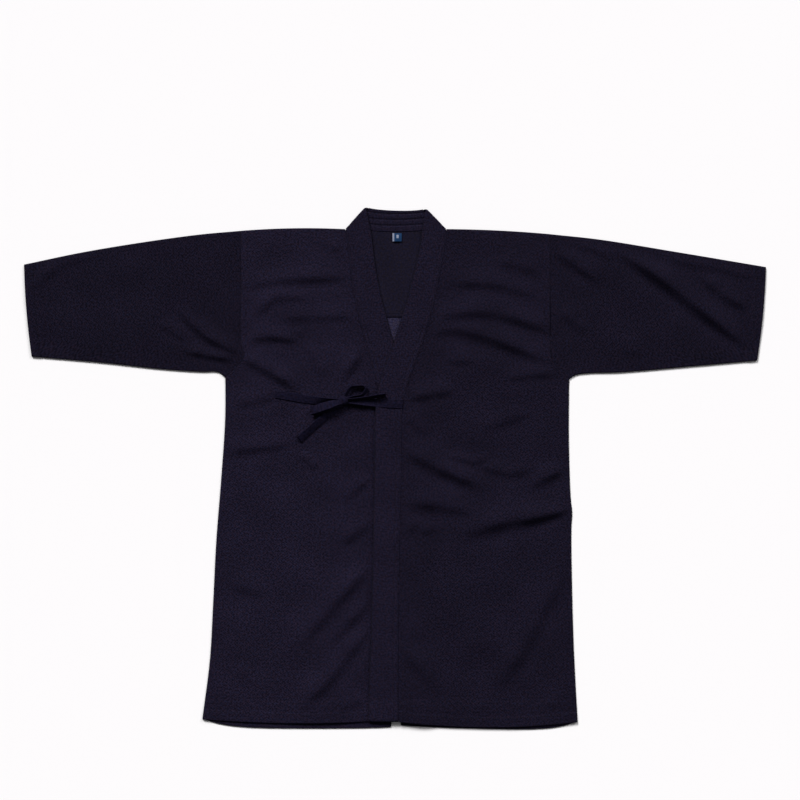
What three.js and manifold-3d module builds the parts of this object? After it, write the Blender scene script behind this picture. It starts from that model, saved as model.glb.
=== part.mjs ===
// A jersey jacket for sword training, laid flat on its back with its front upwards and its tie bowed.
// Millimetres, +Z up. X runs across the sleeves and Y towards the collar. The origin lies on the
// surface, under the middle of the jacket's outline. Left and right are the wearer's: the left front
// (+X) lies over the right front (-X).

import * as THREE from "three";
import Module from "manifold-3d";
import { mergeVertices } from "three/addons/utils/BufferGeometryUtils.js";

// Thickness of the cloth and of what is sewn from it.
const CLOTH = 1.5;
const LINING = 1.0;
const BAND = 3.0; // collar band, folded in several layers
const HEM_RISE = 0.9; // what a turned hem adds
const SEAM_GAP = 0.3; // between pieces that are sewn together or lie on each other

// Depths and reaches.
const BODY_HEM = 17;
const CUFF_HEM = 18;
const FOLD_INSET = 2.2; // how far inside a folded edge the cloth starts to turn
const SIDE_CURL = 1.9; // how much of the side seam's turn lies outside the back
const SIDE_CLEAR = 0.25; // the turned side stops this far above the surface

// The cut: outlines of the two halves, from the neck and shoulder down to the hem.
const SIDES = {
  left: {
    shoulder: { neckX: 91.5, neckY: 425, bow: 2 },
    armhole: [
      { x: 276.5, y: 416 },
      { x: 276.5, y: 320 },
      { x: 276.5, y: 225 },
      { x: 280.5, y: 190 },
      { x: 310, y: 157.5 },
    ],
    side: [
      { x: 310, y: 157.5 },
      { x: 309.5, y: 50 },
      { x: 313, y: -56 },
      { x: 315.5, y: -78 },
      { x: 314, y: -110 },
      { x: 317.5, y: -300 },
      { x: 325, y: -452 },
    ],
    // The band's seam with the front, and the band's width from there to its free edge.
    bandSeam: [
      { x: 91.5, y: 425, width: 54 },
      { x: 90, y: 400, width: 44 },
      { x: 83.5, y: 366, width: 44 },
      { x: 75.5, y: 321, width: 47 },
      { x: 62, y: 265, width: 49 },
      { x: 46, y: 214, width: 49 },
      { x: 22.5, y: 148, width: 49 },
      { x: 14, y: 112, width: 48 },
      { x: 11.5, y: 0, width: 48.5 },
      { x: 7.5, y: -168, width: 47 },
      { x: 6, y: -303, width: 49 },
      { x: 6, y: -451, width: 54 },
    ],
    bandTop: { x: 54.5, y: 463 }, // corner where the band turns from behind the neck to the front
    frontHemBow: -10,
    slit: { x: 10.5, y: -458 }, // lower corner beside the slit in the middle of the back
    cuffLow: { x: 644.5, y: 191 },
    sleeveTop: [
      { x: 276.5, y: 416 },
      { x: 364, y: 406.5 },
      { x: 506, y: 383.5 },
      { x: 631, y: 362.5 },
      { x: 660, y: 357.5 },
    ],
    sleeveLow: [
      { x: 310, y: 157.5 },
      { x: 322, y: 165 },
      { x: 346, y: 168.5 },
      { x: 400, y: 170 },
      { x: 542, y: 182 },
      { x: 644.5, y: 191 },
    ],
  },
  right: {
    shoulder: { neckX: -88.5, neckY: 425, bow: 3 },
    armhole: [
      { x: -274, y: 422 },
      { x: -274, y: 320 },
      { x: -274, y: 222 },
      { x: -270, y: 196 },
      { x: -302, y: 160 },
    ],
    side: [
      { x: -302, y: 160 },
      { x: -302.5, y: 86 },
      { x: -309.5, y: -20 },
      { x: -318, y: -127 },
      { x: -323.5, y: -234 },
      { x: -329.5, y: -340 },
      { x: -343, y: -447 },
    ],
    bandSeam: [
      { x: -88.5, y: 425, width: 54 },
      { x: -85, y: 400, width: 45 },
      { x: -80, y: 353, width: 46 },
      { x: -74.5, y: 313, width: 48 },
      { x: -63, y: 260, width: 49 },
      { x: -44.5, y: 193, width: 49 },
      { x: -27, y: 125, width: 48 },
      { x: -16, y: 60, width: 48 },
      { x: -14, y: 0, width: 48 },
      { x: -14, y: -168, width: 48 },
      { x: -15, y: -303, width: 49 },
      { x: -16, y: -449, width: 51 },
    ],
    bandTop: { x: -51.5, y: 466 },
    frontHemBow: -6,
    slit: { x: -7, y: -461 },
    cuffLow: { x: -646.5, y: 198 },
    sleeveTop: [
      { x: -274, y: 422 },
      { x: -347, y: 415.5 },
      { x: -453, y: 401 },
      { x: -560, y: 383 },
      { x: -660, y: 362 },
    ],
    sleeveLow: [
      { x: -302, y: 160 },
      { x: -314, y: 170 },
      { x: -346, y: 171 },
      { x: -418, y: 176 },
      { x: -524, y: 187.5 },
      { x: -646.5, y: 198 },
    ],
  },
};
const CUFF_BOW = 2.5;
const SLEEVE_LEVEL_FROM = 0.12; // share of a sleeve over which it sinks from the body's layers
const CENTRE_X = 1.8; // seam down the middle of the back
const SLIT_TOP = -341; // where that seam stops and the slit begins
const BACK_HEM_DROP = 15.6; // how far the back hangs below the line between its hem's corners
const NECK_DIP = 5.5; // cut of the back's neck below the shoulder points
const COLLAR_SAG = 6; // of the collar's top edge behind the neck
const LINING_EDGE = 268.5; // lower edge of the upper back's lining
const LABEL = { x: 3.7, top: 417.6, width: 16.4, height: 14.6, thick: 0.6, curl: 0.4, curlShare: 0.6 };

// The band behind the neck is stitched in rows. Lines between them, as shares of its width.
const NECK_STITCH_LINES = [0, 0.3, 0.57, 0.84, 1];
const NECK_GROOVE = 0.9;
const NECK_GROOVE_SIDES = [0.22, 0.78]; // where a groove's sides reach the full height, between two lines
const NECK_EDGE_DROP = 0.5;
const NECK_MIN_WIDTH = 2;
const NECK_END_SLANT = 1.45; // how much longer the gap at its ends is along X than square to the fold

// Section of the band at the front: how much of its thickness it has at each share of its width.
const BAND_SECTION = [
  { across: 0, under: 0, top: 0.62 },
  { across: 0.05, under: 0, top: 1 },
  { across: 0.5, under: 0, top: 1 },
  { across: 0.95, under: 0, top: 1 },
  { across: 1, under: 0.2, top: 0.66 },
];

// The largest folds: soft ridges from one point to another, with bow as the arc's rise.
const FOLDS = [
  { x: 309, y: -77, toX: 140, toY: -117, bow: -6, wide: 18, high: 6 },
  { x: 23, y: -66, toX: 135, toY: -82, bow: 5, wide: 17, high: 4 },
  { x: 19, y: 26, toX: 144, toY: -36, bow: 0, wide: 17, high: 4 },
  { x: 307, y: -3, toX: 244, toY: -36, bow: 0, wide: 16, high: 3.5 },
  { x: 289, y: -204, toX: 199, toY: -380, bow: -13, wide: 25, high: 4 },
  { x: 80, y: 269, toX: 256, toY: 238, bow: 20, wide: 18, high: 4 },
  { x: 66, y: 238, toX: 274, toY: 186, bow: 12, wide: 18, high: 5 },
  { x: 99, y: 323, toX: 256, toY: 304, bow: 7, wide: 17, high: 2.5 },
  { x: 37, y: 120, toX: 160, toY: 153, bow: 0, wide: 18, high: 3 },
  { x: 402, y: 376, toX: 620, toY: 220, bow: 0, wide: 19, high: 6 },
  { x: 288, y: 376, toX: 359, toY: 330, bow: 0, wide: 17, high: 2.5 },
  { x: -375, y: 257, toX: -276, toY: 209, bow: -4, wide: 17, high: 4 },
  { x: -366, y: 202, toX: -295, toY: 191, bow: 0, wide: 14, high: 3 },
  { x: -631, y: 314, toX: -588, toY: 352, bow: 0, wide: 16, high: 3 },
  { x: -257, y: 323, toX: -86, toY: 333, bow: 2, wide: 16, high: 3 },
  { x: -257, y: 227, toX: -162, toY: 220, bow: 3, wide: 16, high: 4 },
  { x: -267, y: 186, toX: -181, toY: 150, bow: 4, wide: 16, high: 4 },
  { x: -53, y: 209, toX: -86, toY: 163, bow: 0, wide: 16, high: 3 },
  { x: -41, y: -172, toX: -157, toY: -307, bow: -5, wide: 19, high: 4 },
  { x: -50, y: -303, toX: -157, toY: -433, bow: 0, wide: 19, high: 4 },
];
const FOLD_END = 0.18; // share of a fold's length over which it dies away

// Where folds die away: distances from an edge in millimetres, or shares of a row or of the length.
const FADE = {
  edge: { from: -8, to: 40 },
  armpit: { from: 4, to: 46 },
  band: { from: -34, to: -6 },
  seam: { share: 0.14 },
  side: { share: 0.1, least: 0.25 },
  hem: { share: 0.07, taken: 0.5 },
  cuff: { share: 0.1, taken: 0.5 },
};

// The tie. Each stretch of tape runs out from where it is sewn on, or from inside the knot. lean turns
// it about its run, the edge on the collar's side upwards. lift is how far it is held off the cloth,
// and wide is the share of its width that isn't gathered up.
const TAPE = { width: 14.5, thick: 1.8, steps: 3 };
const KNOT = { x: -91, y: 120.5, long: 18, wide: 17, high: 12, turn: 0.6 };
const TAPES = {
  tie_right: [
    { x: -213, y: 130, lean: 0, lift: 0, wide: 0.9 },
    { x: -190, y: 129, lean: 6, lift: 0, wide: 1 },
    { x: -164, y: 126, lean: 16, lift: 0, wide: 1 },
    { x: -144, y: 123.8, lean: 42, lift: 0, wide: 0.95 },
    { x: -127, y: 124, lean: 76, lift: 0, wide: 0.8 },
    { x: -110, y: 124, lean: 84, lift: 0.5, wide: 0.6 },
    { x: -93, y: 123, lean: 80, lift: 1.5, wide: 0.5 },
  ],
  tie_left: [
    { x: 13.5, y: 115.3, lean: 0, lift: 0, wide: 1 },
    { x: -12, y: 115.6, lean: 0, lift: 0, wide: 1 },
    { x: -32, y: 116.6, lean: -8, lift: 0, wide: 1 },
    { x: -48, y: 117.6, lean: -18, lift: 0, wide: 1 },
    { x: -66, y: 118.6, lean: -24, lift: 0, wide: 0.9 },
    { x: -80, y: 119, lean: -24, lift: 0, wide: 0.7 },
    { x: -92, y: 119, lean: -20, lift: 1, wide: 0.5 },
  ],
  bow_loop_right: [
    { x: -92, y: 119, lean: -16, lift: 5, wide: 0.5 },
    { x: -104, y: 116.5, lean: -18, lift: 9.5, wide: 0.7 },
    { x: -116, y: 113, lean: -20, lift: 11, wide: 0.95 },
    { x: -129, y: 109, lean: -18, lift: 11, wide: 1 },
    { x: -140, y: 104.5, lean: -10, lift: 9.5, wide: 1 },
    { x: -144.5, y: 102, lean: 10, lift: 6.5, wide: 1 },
    { x: -139, y: 100.5, lean: 34, lift: 3.6, wide: 0.95 },
    { x: -125, y: 102.5, lean: 44, lift: 3.4, wide: 0.85 },
    { x: -112, y: 106, lean: 46, lift: 3.6, wide: 0.7 },
    { x: -93, y: 112, lean: 40, lift: 3.8, wide: 0.5 },
  ],
  bow_loop_left: [
    { x: -90, y: 124, lean: 86, lift: 3, wide: 0.5 },
    { x: -85, y: 134, lean: 88, lift: 2.2, wide: 0.75 },
    { x: -79, y: 142.5, lean: 88, lift: 1.6, wide: 0.95 },
    { x: -71, y: 146.5, lean: 88, lift: 1.2, wide: 1 },
    { x: -56, y: 146, lean: 88, lift: 1, wide: 1 },
    { x: -50.5, y: 142.5, lean: 88, lift: 1, wide: 1 },
    { x: -55, y: 135.5, lean: 88, lift: 1.2, wide: 1 },
    { x: -63, y: 131, lean: 88, lift: 2.4, wide: 0.9 },
    { x: -76, y: 128.8, lean: 88, lift: 3.2, wide: 0.7 },
    { x: -90, y: 123.5, lean: 86, lift: 3, wide: 0.5 },
  ],
  bow_end_right: [
    { x: -93, y: 113, lean: 0, lift: 0.6, wide: 0.5 },
    { x: -104, y: 105.5, lean: -4, lift: 0, wide: 0.7 },
    { x: -117, y: 98, lean: -8, lift: 0, wide: 0.85 },
    { x: -130, y: 88, lean: -12, lift: 0, wide: 0.9 },
    { x: -148, y: 71, lean: -15, lift: 0, wide: 0.9 },
    { x: -168, y: 51, lean: -16, lift: 0, wide: 0.9 },
  ],
  bow_end_left: [
    { x: -92, y: 120, lean: 44, lift: 5, wide: 0.5 },
    { x: -78, y: 121.5, lean: 48, lift: 6.4, wide: 0.7 },
    { x: -62, y: 123.2, lean: 52, lift: 6, wide: 0.9 },
    { x: -46, y: 125, lean: 54, lift: 5, wide: 0.95 },
    { x: -31, y: 128.4, lean: 62, lift: 3.2, wide: 0.95 },
    { x: -17, y: 131.5, lean: 70, lift: 2, wide: 0.9 },
  ],
};
const TAPE_SECTION = [
  { across: -1, through: 0 },
  { across: -0.92, through: -1 },
  { across: 0.92, through: -1 },
  { across: 1, through: 0 },
  { across: 0.92, through: 1 },
  { across: -0.92, through: 1 },
];

// How finely the walls are divided. Back layers are flat and take fewer rows.
const ARMHOLE_ROWS = 12;
const SIDE_ROWS = 27;
const ROWS = ARMHOLE_ROWS + SIDE_ROWS;
const PANEL_COLUMNS = 12;
const EDGE_INSETS = [1.6, 0.8, 0]; // last columns beside an armhole
const SLEEVE_STATIONS = 15;
const HEM_STEP = 0.05; // a hem's edge steps up over this share of a row
const CUFF_STEP = 0.003; // and a cuff's over this share of the sleeve
const BACK_ARMHOLE_ROWS = [0, 4, 8, 9, 10, 11, 12];
const BACK_NECK_ROWS = [
  { neck: 0, arm: 0 },
  { neck: 0.35, arm: 1.3 },
  { neck: 0.7, arm: 2.6 },
  { neck: 1, arm: 4 },
];

const COLOURS = { navyJersey: 0x1b1826, navyLining: 0x1a1725, navyTape: 0x191540, labelBlue: 0x1d3a5c };
const material = (color, roughness) => new THREE.MeshStandardMaterial({ color, roughness, metalness: 0 });
const jersey = material(COLOURS.navyJersey, 0.92);
const lining = material(COLOURS.navyLining, 0.9);
const tape = material(COLOURS.navyTape, 0.8);
const labelCloth = material(COLOURS.labelBlue, 0.7);

const smooth = (from, to, value) => THREE.MathUtils.smoothstep(value, from, to);
const mix = THREE.MathUtils.lerp;
const bulge = (share) => 4 * share * (1 - share);
const level = (x, y, z = 0) => new THREE.Vector3(x, y, z);

// A smooth line through the rows of a table, as evenly spaced points.
function spacedPoints(rows, count) {
  const points = rows.map((row) => level(row.x, row.y));
  return new THREE.CatmullRomCurve3(points, false, "centripetal").getSpacedPoints(count);
}

// A point of a line of points, place counted in steps.
function pointOn(line, place) {
  const step = Math.min(Math.floor(place), line.length - 2);
  return line[step].clone().lerp(line[step + 1], place - step);
}

// A column of a table, read part of the way along it.
function columnAt(rows, share, column) {
  const place = share * (rows.length - 1);
  const row = Math.min(Math.floor(place), rows.length - 2);
  return mix(rows[row][column], rows[row + 1][column], place - row);
}

// A column of a table whose rows go down the jacket, read at a height y.
function columnAtHeight(rows, y, column) {
  const below = rows.findIndex((row, i) => i > 0 && y >= row.y);
  if (below < 0) return rows[rows.length - 1][column];
  const [upper, lower] = [rows[below - 1], rows[below]];
  return mix(lower[column], upper[column], Math.min(1, (y - lower.y) / (upper.y - lower.y)));
}

// Lines that neighbouring pieces share, so that their points stand side by side at the seams.
for (const cut of Object.values(SIDES)) {
  cut.out = Math.sign(cut.shoulder.neckX);
  cut.armholeLine = spacedPoints(cut.armhole, ARMHOLE_ROWS);
  cut.outerLine = [...cut.armholeLine, ...spacedPoints(cut.side, SIDE_ROWS).slice(1)];
  cut.seamLine = spacedPoints(cut.bandSeam, ROWS);
  cut.freeLine = cut.seamLine.map((seam, row) => {
    if (row === 0) return level(cut.bandTop.x, cut.bandTop.y);
    const run = pointOn(cut.seamLine, Math.min(row + 1, ROWS)).sub(cut.seamLine[row - 1]).normalize();
    const width = columnAtHeight(cut.bandSeam, seam.y, "width");
    return level(seam.x + run.y * cut.out * width, seam.y - run.x * cut.out * width);
  });
}

// Height of the folds over the flat cloth. They die away towards the armpits, where the seams meet.
function foldHeight(x, y) {
  let height = 0;
  for (const fold of FOLDS) {
    const runX = fold.toX - fold.x;
    const runY = fold.toY - fold.y;
    const length = Math.hypot(runX, runY);
    const share = ((x - fold.x) * runX + (y - fold.y) * runY) / (length * length);
    const across = ((y - fold.y) * runX - (x - fold.x) * runY) / length;
    const rise = Math.sign(runX) * fold.bow * bulge(share);
    const offset = (across - rise) / fold.wide;
    const ends = smooth(-FOLD_END, FOLD_END, share) * smooth(-FOLD_END, FOLD_END, 1 - share);
    height += fold.high * Math.exp(-offset * offset) * ends;
  }
  const armpit = (x > 0 ? SIDES.left : SIDES.right).armholeLine[ARMHOLE_ROWS];
  return height * smooth(FADE.armpit.from, FADE.armpit.to, Math.hypot(x - armpit.x, y - armpit.y));
}
const fadeFromEdge = (distance) => smooth(FADE.edge.from, FADE.edge.to, distance);

// Folds of the right front die away before the left band, which lies flat on it.
function fadeAtBand(x, y) {
  const pastEdge = x - columnAtHeight(SIDES.left.freeLine, y, "x");
  return 1 - smooth(FADE.band.from, FADE.band.to, pastEdge);
}

// Heights of the layers that lie on each other.
const OVER_BACK = CLOTH + SEAM_GAP;
const OVER_LINING = LINING + SEAM_GAP;
const OVER_NECK_BAND = BAND + SEAM_GAP - OVER_BACK - OVER_LINING + 0.1;

// Where the fronts rise over what is under them: over the lining's edge and the neck's band at these
// heights, and over the back's hem below it.
const RISE = {
  lining: { from: LINING_EDGE - 34, to: LINING_EDGE - 4 },
  neck: { from: 370, to: 400 },
  hem: { from: -408, to: -425 },
};
const overHem = (y) => HEM_RISE * (1 - smooth(RISE.hem.to, RISE.hem.from, y));
function frontBase(y) {
  const lined = OVER_LINING * smooth(RISE.lining.from, RISE.lining.to, y);
  const byNeck = OVER_NECK_BAND * smooth(RISE.neck.from, RISE.neck.to, y);
  return OVER_BACK + lined + byNeck + overHem(y);
}

// How far the right front and its band lift the left front that lies over them. The lift grows from
// before the band's seam and sinks again past its free edge.
const OVERLAP = { bandFrom: -28, bandTo: -10, edgeFrom: 10, edgeTo: 45 };
function overlapLift(x, y) {
  const pastEdge = x - columnAtHeight(SIDES.right.freeLine, y, "x");
  const pastSeam = x - columnAtHeight(SIDES.right.seamLine, y, "x");
  const band = (BAND - CLOTH) * smooth(OVERLAP.bandFrom, OVERLAP.bandTo, pastSeam);
  const over = CLOTH + SEAM_GAP + overHem(y) + band;
  return over * (1 - smooth(OVERLAP.edgeFrom, OVERLAP.edgeTo, pastEdge));
}
const noLift = () => 0;

// Turns the faces outwards if they enclose a negative volume.
function closedGeometry(positions, index) {
  const point = (i) => new THREE.Vector3().fromArray(positions, 3 * i);
  let volume = 0;
  for (let i = 0; i < index.length; i += 3) {
    volume += point(index[i]).dot(point(index[i + 1]).cross(point(index[i + 2])));
  }
  if (volume < 0) index.reverse();
  const geometry = new THREE.BufferGeometry();
  geometry.setAttribute("position", new THREE.Float32BufferAttribute(positions, 3));
  geometry.setIndex(index);
  geometry.computeVertexNormals();
  return geometry;
}

// A closed wall from a grid of rows, each a list of { outer, inner } points.
function wallGeometry(grid) {
  const rows = grid.length;
  const columns = grid[0].length;
  const positions = [];
  for (const face of ["outer", "inner"]) {
    for (const row of grid) for (const point of row) positions.push(...point[face].toArray());
  }
  const at = (row, column, inner) => (inner ? rows * columns : 0) + row * columns + column;
  const index = [];
  const quad = (a, b, c, d) => index.push(a, b, c, a, c, d);
  const [lastRow, lastColumn] = [rows - 1, columns - 1];
  for (let r = 0; r < lastRow; r++) {
    for (let c = 0; c < lastColumn; c++) {
      quad(at(r, c), at(r + 1, c), at(r + 1, c + 1), at(r, c + 1));
      quad(at(r, c, true), at(r, c + 1, true), at(r + 1, c + 1, true), at(r + 1, c, true));
    }
    quad(at(r, 0), at(r, 0, true), at(r + 1, 0, true), at(r + 1, 0));
    quad(at(r, lastColumn), at(r + 1, lastColumn), at(r + 1, lastColumn, true), at(r, lastColumn, true));
  }
  for (let c = 0; c < lastColumn; c++) {
    quad(at(0, c), at(0, c + 1), at(0, c + 1, true), at(0, c, true));
    quad(at(lastRow, c), at(lastRow, c, true), at(lastRow, c + 1, true), at(lastRow, c + 1));
  }
  return closedGeometry(positions, index);
}

// A closed body from rings of points: hollow and open at both ends where inner rings are given.
function ringGeometry(rings, innerRings) {
  const sides = rings[0].length;
  const last = rings.length - 1;
  const positions = [...rings, ...(innerRings ?? [])].flat().flatMap((point) => point.toArray());
  const index = [];
  const quad = (a, b, c, d) => index.push(a, b, c, a, c, d);
  const at = (ring, side) => ring * sides + (side % sides);
  for (let s = 0; s < sides; s++) {
    for (let r = 0; r < last; r++) {
      const inner = r + rings.length;
      quad(at(r, s), at(r, s + 1), at(r + 1, s + 1), at(r + 1, s));
      if (innerRings) quad(at(inner, s), at(inner + 1, s), at(inner + 1, s + 1), at(inner, s + 1));
    }
    if (innerRings) {
      const end = last + rings.length;
      quad(at(0, s), at(rings.length, s), at(rings.length, s + 1), at(0, s + 1));
      quad(at(last, s), at(last, s + 1), at(end, s + 1), at(end, s));
    } else if (s > 0 && s < sides - 1) {
      index.push(at(0, 0), at(0, s + 1), at(0, s), at(last, 0), at(last, s), at(last, s + 1));
    }
  }
  return closedGeometry(positions, index);
}

// Plan of a panel's row: points from its inner edge to its outer edge, the last ones close together.
function panelRow(inner, outer) {
  const width = Math.abs(outer.x - inner.x);
  const main = 1 - (2 * EDGE_INSETS[0]) / width;
  const shares = [...Array(PANEL_COLUMNS).keys()].map((column) => (column / (PANEL_COLUMNS - 1)) * main);
  return [...shares, ...EDGE_INSETS.map((inset) => 1 - inset / width)];
}

// One row of the front, place counted in steps down from the shoulder.
function frontRow(cut, place, hem, lift) {
  const seam = pointOn(cut.seamLine, place);
  seam.x += SEAM_GAP * cut.out;
  const edge = pointOn(cut.outerLine, place);
  const down = place / ROWS;
  const onSide = smooth(ARMHOLE_ROWS, ARMHOLE_ROWS + 1, place);
  const top = 1 - smooth(0, 0.1, down);
  const shoulderInset = place === 0 ? FOLD_INSET : 0;
  const byHem = 1 - FADE.hem.taken * smooth(1 - FADE.hem.share, 1, down);
  const fromShoulder = cut.armholeLine[0].distanceTo(cut.armholeLine[1]) * place;
  const shares = panelRow(seam, edge);
  return shares.map((share, column) => {
    const at = seam.clone().lerp(edge, share);
    at.y += bulge(share) * (cut.shoulder.bow * top + cut.frontHemBow * smooth(0.8, 1, down)) - shoulderInset;
    const inFromSide = mix(1, mix(FADE.side.least, 1, smooth(0, FADE.side.share, 1 - share)), onSide);
    const inFromSeam = smooth(0, FADE.seam.share, share);
    const flat = cut === SIDES.right ? fadeAtBand(at.x, at.y) : 1;
    const soft = inFromSeam * inFromSide * fadeFromEdge(fromShoulder) * byHem * flat;
    const base = frontBase(at.y) + lift(at.x, at.y) + foldHeight(at.x, at.y) * soft;
    const outer = at.clone().setZ(base + CLOTH + hem);
    const inner = at.clone().setZ(base);
    const turn = column - (shares.length - EDGE_INSETS.length);
    if (onSide > 0 && turn >= 0) turnSideDown(cut, outer, inner, edge, turn, onSide);
    return { outer, inner };
  });
}

// The front's side is turned down over the edge of the back, in three steps, the last to the surface.
const ALL_THE_WAY = 99;
const SIDE_TURN = [
  { outerInset: 1, outerDrop: 0.5, innerInset: 2.3, innerDrop: 0.3 },
  { outerInset: 0, outerDrop: 1.7, innerInset: SIDE_CURL, innerDrop: 1 },
  { outerInset: 0, outerDrop: ALL_THE_WAY, innerInset: SIDE_CURL, innerDrop: ALL_THE_WAY },
];
function turnSideDown(cut, outer, inner, edge, turn, onSide) {
  const { outerInset, outerDrop, innerInset, innerDrop } = SIDE_TURN[turn];
  outer.x = mix(outer.x, edge.x - cut.out * outerInset, onSide);
  inner.x = mix(inner.x, edge.x - cut.out * innerInset, onSide);
  outer.z = mix(outer.z, Math.max(outer.z - outerDrop, SIDE_CLEAR), onSide);
  inner.z = mix(inner.z, Math.max(inner.z - innerDrop, SIDE_CLEAR), onSide);
}

// One row of the back, between its point on the neck, the middle seam or the slit and the outer line.
function backRow(cut, inner, place) {
  const edge = pointOn(cut.outerLine, place);
  const onSide = smooth(ARMHOLE_ROWS, ARMHOLE_ROWS + 1, place);
  edge.x -= cut.out * (SIDE_CURL + SEAM_GAP + 0.1) * onSide;
  if (place === 0) edge.y -= FOLD_INSET;
  const top = cut.shoulder.bow * (place === 0 ? 1 : 0);
  const hemDrop = BACK_HEM_DROP * smooth(0.9, 1, place / ROWS);
  return panelRow(inner, edge).map((share) => {
    const at = inner.clone().lerp(edge, share);
    at.y += bulge(share) * top - hemDrop * share ** 0.7 * (1 - share ** 8);
    return { outer: at.clone(), inner: at.clone().setZ(CLOTH) };
  });
}

// The cut of the back's neck, from the shoulder point to the middle seam.
function neckCurve(cut, share) {
  const middle = cut.out * (SEAM_GAP / 2) + CENTRE_X;
  const x = mix(cut.shoulder.neckX + SEAM_GAP * cut.out, middle, share);
  return level(x, cut.shoulder.neckY - NECK_DIP * smooth(-0.3, 1, share));
}

function backRows(cut) {
  const neckRows = BACK_NECK_ROWS.map(({ neck, arm }) => {
    const inner = neckCurve(cut, neck);
    if (neck === 0) inner.y -= FOLD_INSET;
    return backRow(cut, inner, arm);
  });
  const places = BACK_ARMHOLE_ROWS.filter((place) => place > BACK_NECK_ROWS.at(-1).arm);
  for (let place = ARMHOLE_ROWS + 3; place < ROWS; place += 3) places.push(place);
  const hemPlace = ROWS - (BODY_HEM / (pointOn(cut.outerLine, 0).y - cut.slit.y)) * ROWS;
  const seamX = neckCurve(cut, 1).x;
  const lowerPlaces = [...places.filter((place) => place < hemPlace), hemPlace, hemPlace + HEM_STEP, ROWS];
  const lowerRows = lowerPlaces.map((place) => {
    const y = place === ROWS ? cut.slit.y : pointOn(cut.outerLine, place).y;
    const open = Math.max(0, (SLIT_TOP - y) / (SLIT_TOP - cut.slit.y)) ** 1.3;
    const row = backRow(cut, level(mix(seamX, cut.slit.x, open), y), place);
    if (place > hemPlace) for (const point of row) point.inner.z += HEM_RISE;
    return row;
  });
  return [...neckRows, ...lowerRows];
}

// A half of the body: front and back in one piece of cloth that is folded over the shoulder.
function bodyHalf(cut, lift) {
  const step = cut.outerLine[ROWS - 1].distanceTo(cut.outerLine[ROWS]);
  const hemPlace = ROWS - BODY_HEM / step;
  const front = [
    frontRow(cut, ROWS, HEM_RISE, lift),
    frontRow(cut, hemPlace + HEM_STEP, HEM_RISE, lift),
    frontRow(cut, hemPlace, 0, lift),
  ];
  for (let place = Math.floor(hemPlace - 0.3); place >= 0; place--) {
    front.push(frontRow(cut, place, 0, lift));
  }
  const back = backRows(cut);
  const shoulder = front.at(-1).map((point, column) => {
    const middle = (point.outer.z + back[0][column].outer.z) / 2;
    const outer = point.outer.clone().setZ(middle);
    outer.y += FOLD_INSET;
    return { outer, inner: outer.clone().setY(outer.y - CLOTH) };
  });
  return wallGeometry([...front, shoulder, ...back]);
}

// A point of the sleeve's plan: along from the armhole to the cuff, down from the fold to the underarm.
function sleevePoint(cut, along, down) {
  const top = pointOn(cut.topLine, along * SLEEVE_STATIONS).multiplyScalar(1 - down);
  const low = pointOn(cut.lowLine, along * SLEEVE_STATIONS).multiplyScalar(down);
  const arm = pointOn(cut.armholeLine, down * ARMHOLE_ROWS);
  const armStraight = cut.armholeLine[0].clone().lerp(cut.armholeLine[ARMHOLE_ROWS], down);
  const at = top.add(low).addScaledVector(arm.sub(armStraight), 1 - along);
  at.x += cut.out * (along * CUFF_BOW * bulge(down) + SEAM_GAP * (1 - along));
  return at;
}

function sleeve(cut) {
  cut.topLine = spacedPoints(cut.sleeveTop, SLEEVE_STATIONS);
  cut.lowLine = spacedPoints(cut.sleeveLow, SLEEVE_STATIONS);
  const length = cut.topLine[0].distanceTo(cut.topLine[SLEEVE_STATIONS]);
  const armLength = cut.armholeLine[0].distanceTo(cut.armholeLine[1]) * ARMHOLE_ROWS;
  const cuffLength = level(cut.cuffLow.x, cut.cuffLow.y).distanceTo(cut.topLine[SLEEVE_STATIONS]);
  const hemStart = 1 - CUFF_HEM / length;
  const stations = [];
  for (let i = 0; i < SLEEVE_STATIONS - 1; i++) stations.push({ along: i / SLEEVE_STATIONS, hem: 0 });
  stations.push({ along: hemStart - CUFF_STEP, hem: 0 });
  stations.push({ along: hemStart, hem: HEM_RISE });
  stations.push({ along: 1, hem: HEM_RISE });
  const [outerRings, innerRings] = [[], []];
  for (const { along, hem } of stations) {
    const section = mix(armLength, cuffLength, along);
    const insetShare = FOLD_INSET / section;
    const byCuff = 1 - FADE.cuff.taken * smooth(hemStart - FADE.cuff.share, 1, along);
    const at = (row) => sleevePoint(cut, along, mix(insetShare, 1 - insetShare, row / ARMHOLE_ROWS));
    const [outer, inner] = [[], []];
    for (let row = 0; row <= ARMHOLE_ROWS; row++) {
      const point = at(row);
      const fromTop = (section * row) / ARMHOLE_ROWS;
      const soft = fadeFromEdge(fromTop) * fadeFromEdge(section - fromTop) * byCuff;
      const flat = mix(frontBase(point.y), OVER_BACK, smooth(0, SLEEVE_LEVEL_FROM, along));
      const base = flat + foldHeight(point.x, point.y) * soft;
      outer.push(point.clone().setZ(base + CLOTH + hem));
      inner.push(point.clone().setZ(base));
    }
    const turn = (down, middle) => {
      outer.push(sleevePoint(cut, along, down).setZ(middle));
      inner.push(sleevePoint(cut, along, mix(down, 0.5, (2 * CLOTH) / section)).setZ(middle));
    };
    turn(1, outer.at(-1).z / 2);
    for (const row of [...BACK_ARMHOLE_ROWS].reverse()) {
      outer.push(at(row));
      inner.push(at(row).setZ(CLOTH));
    }
    turn(0, outer[0].z / 2);
    outerRings.push(outer);
    innerRings.push(inner);
  }
  return ringGeometry(outerRings, innerRings);
}

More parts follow.
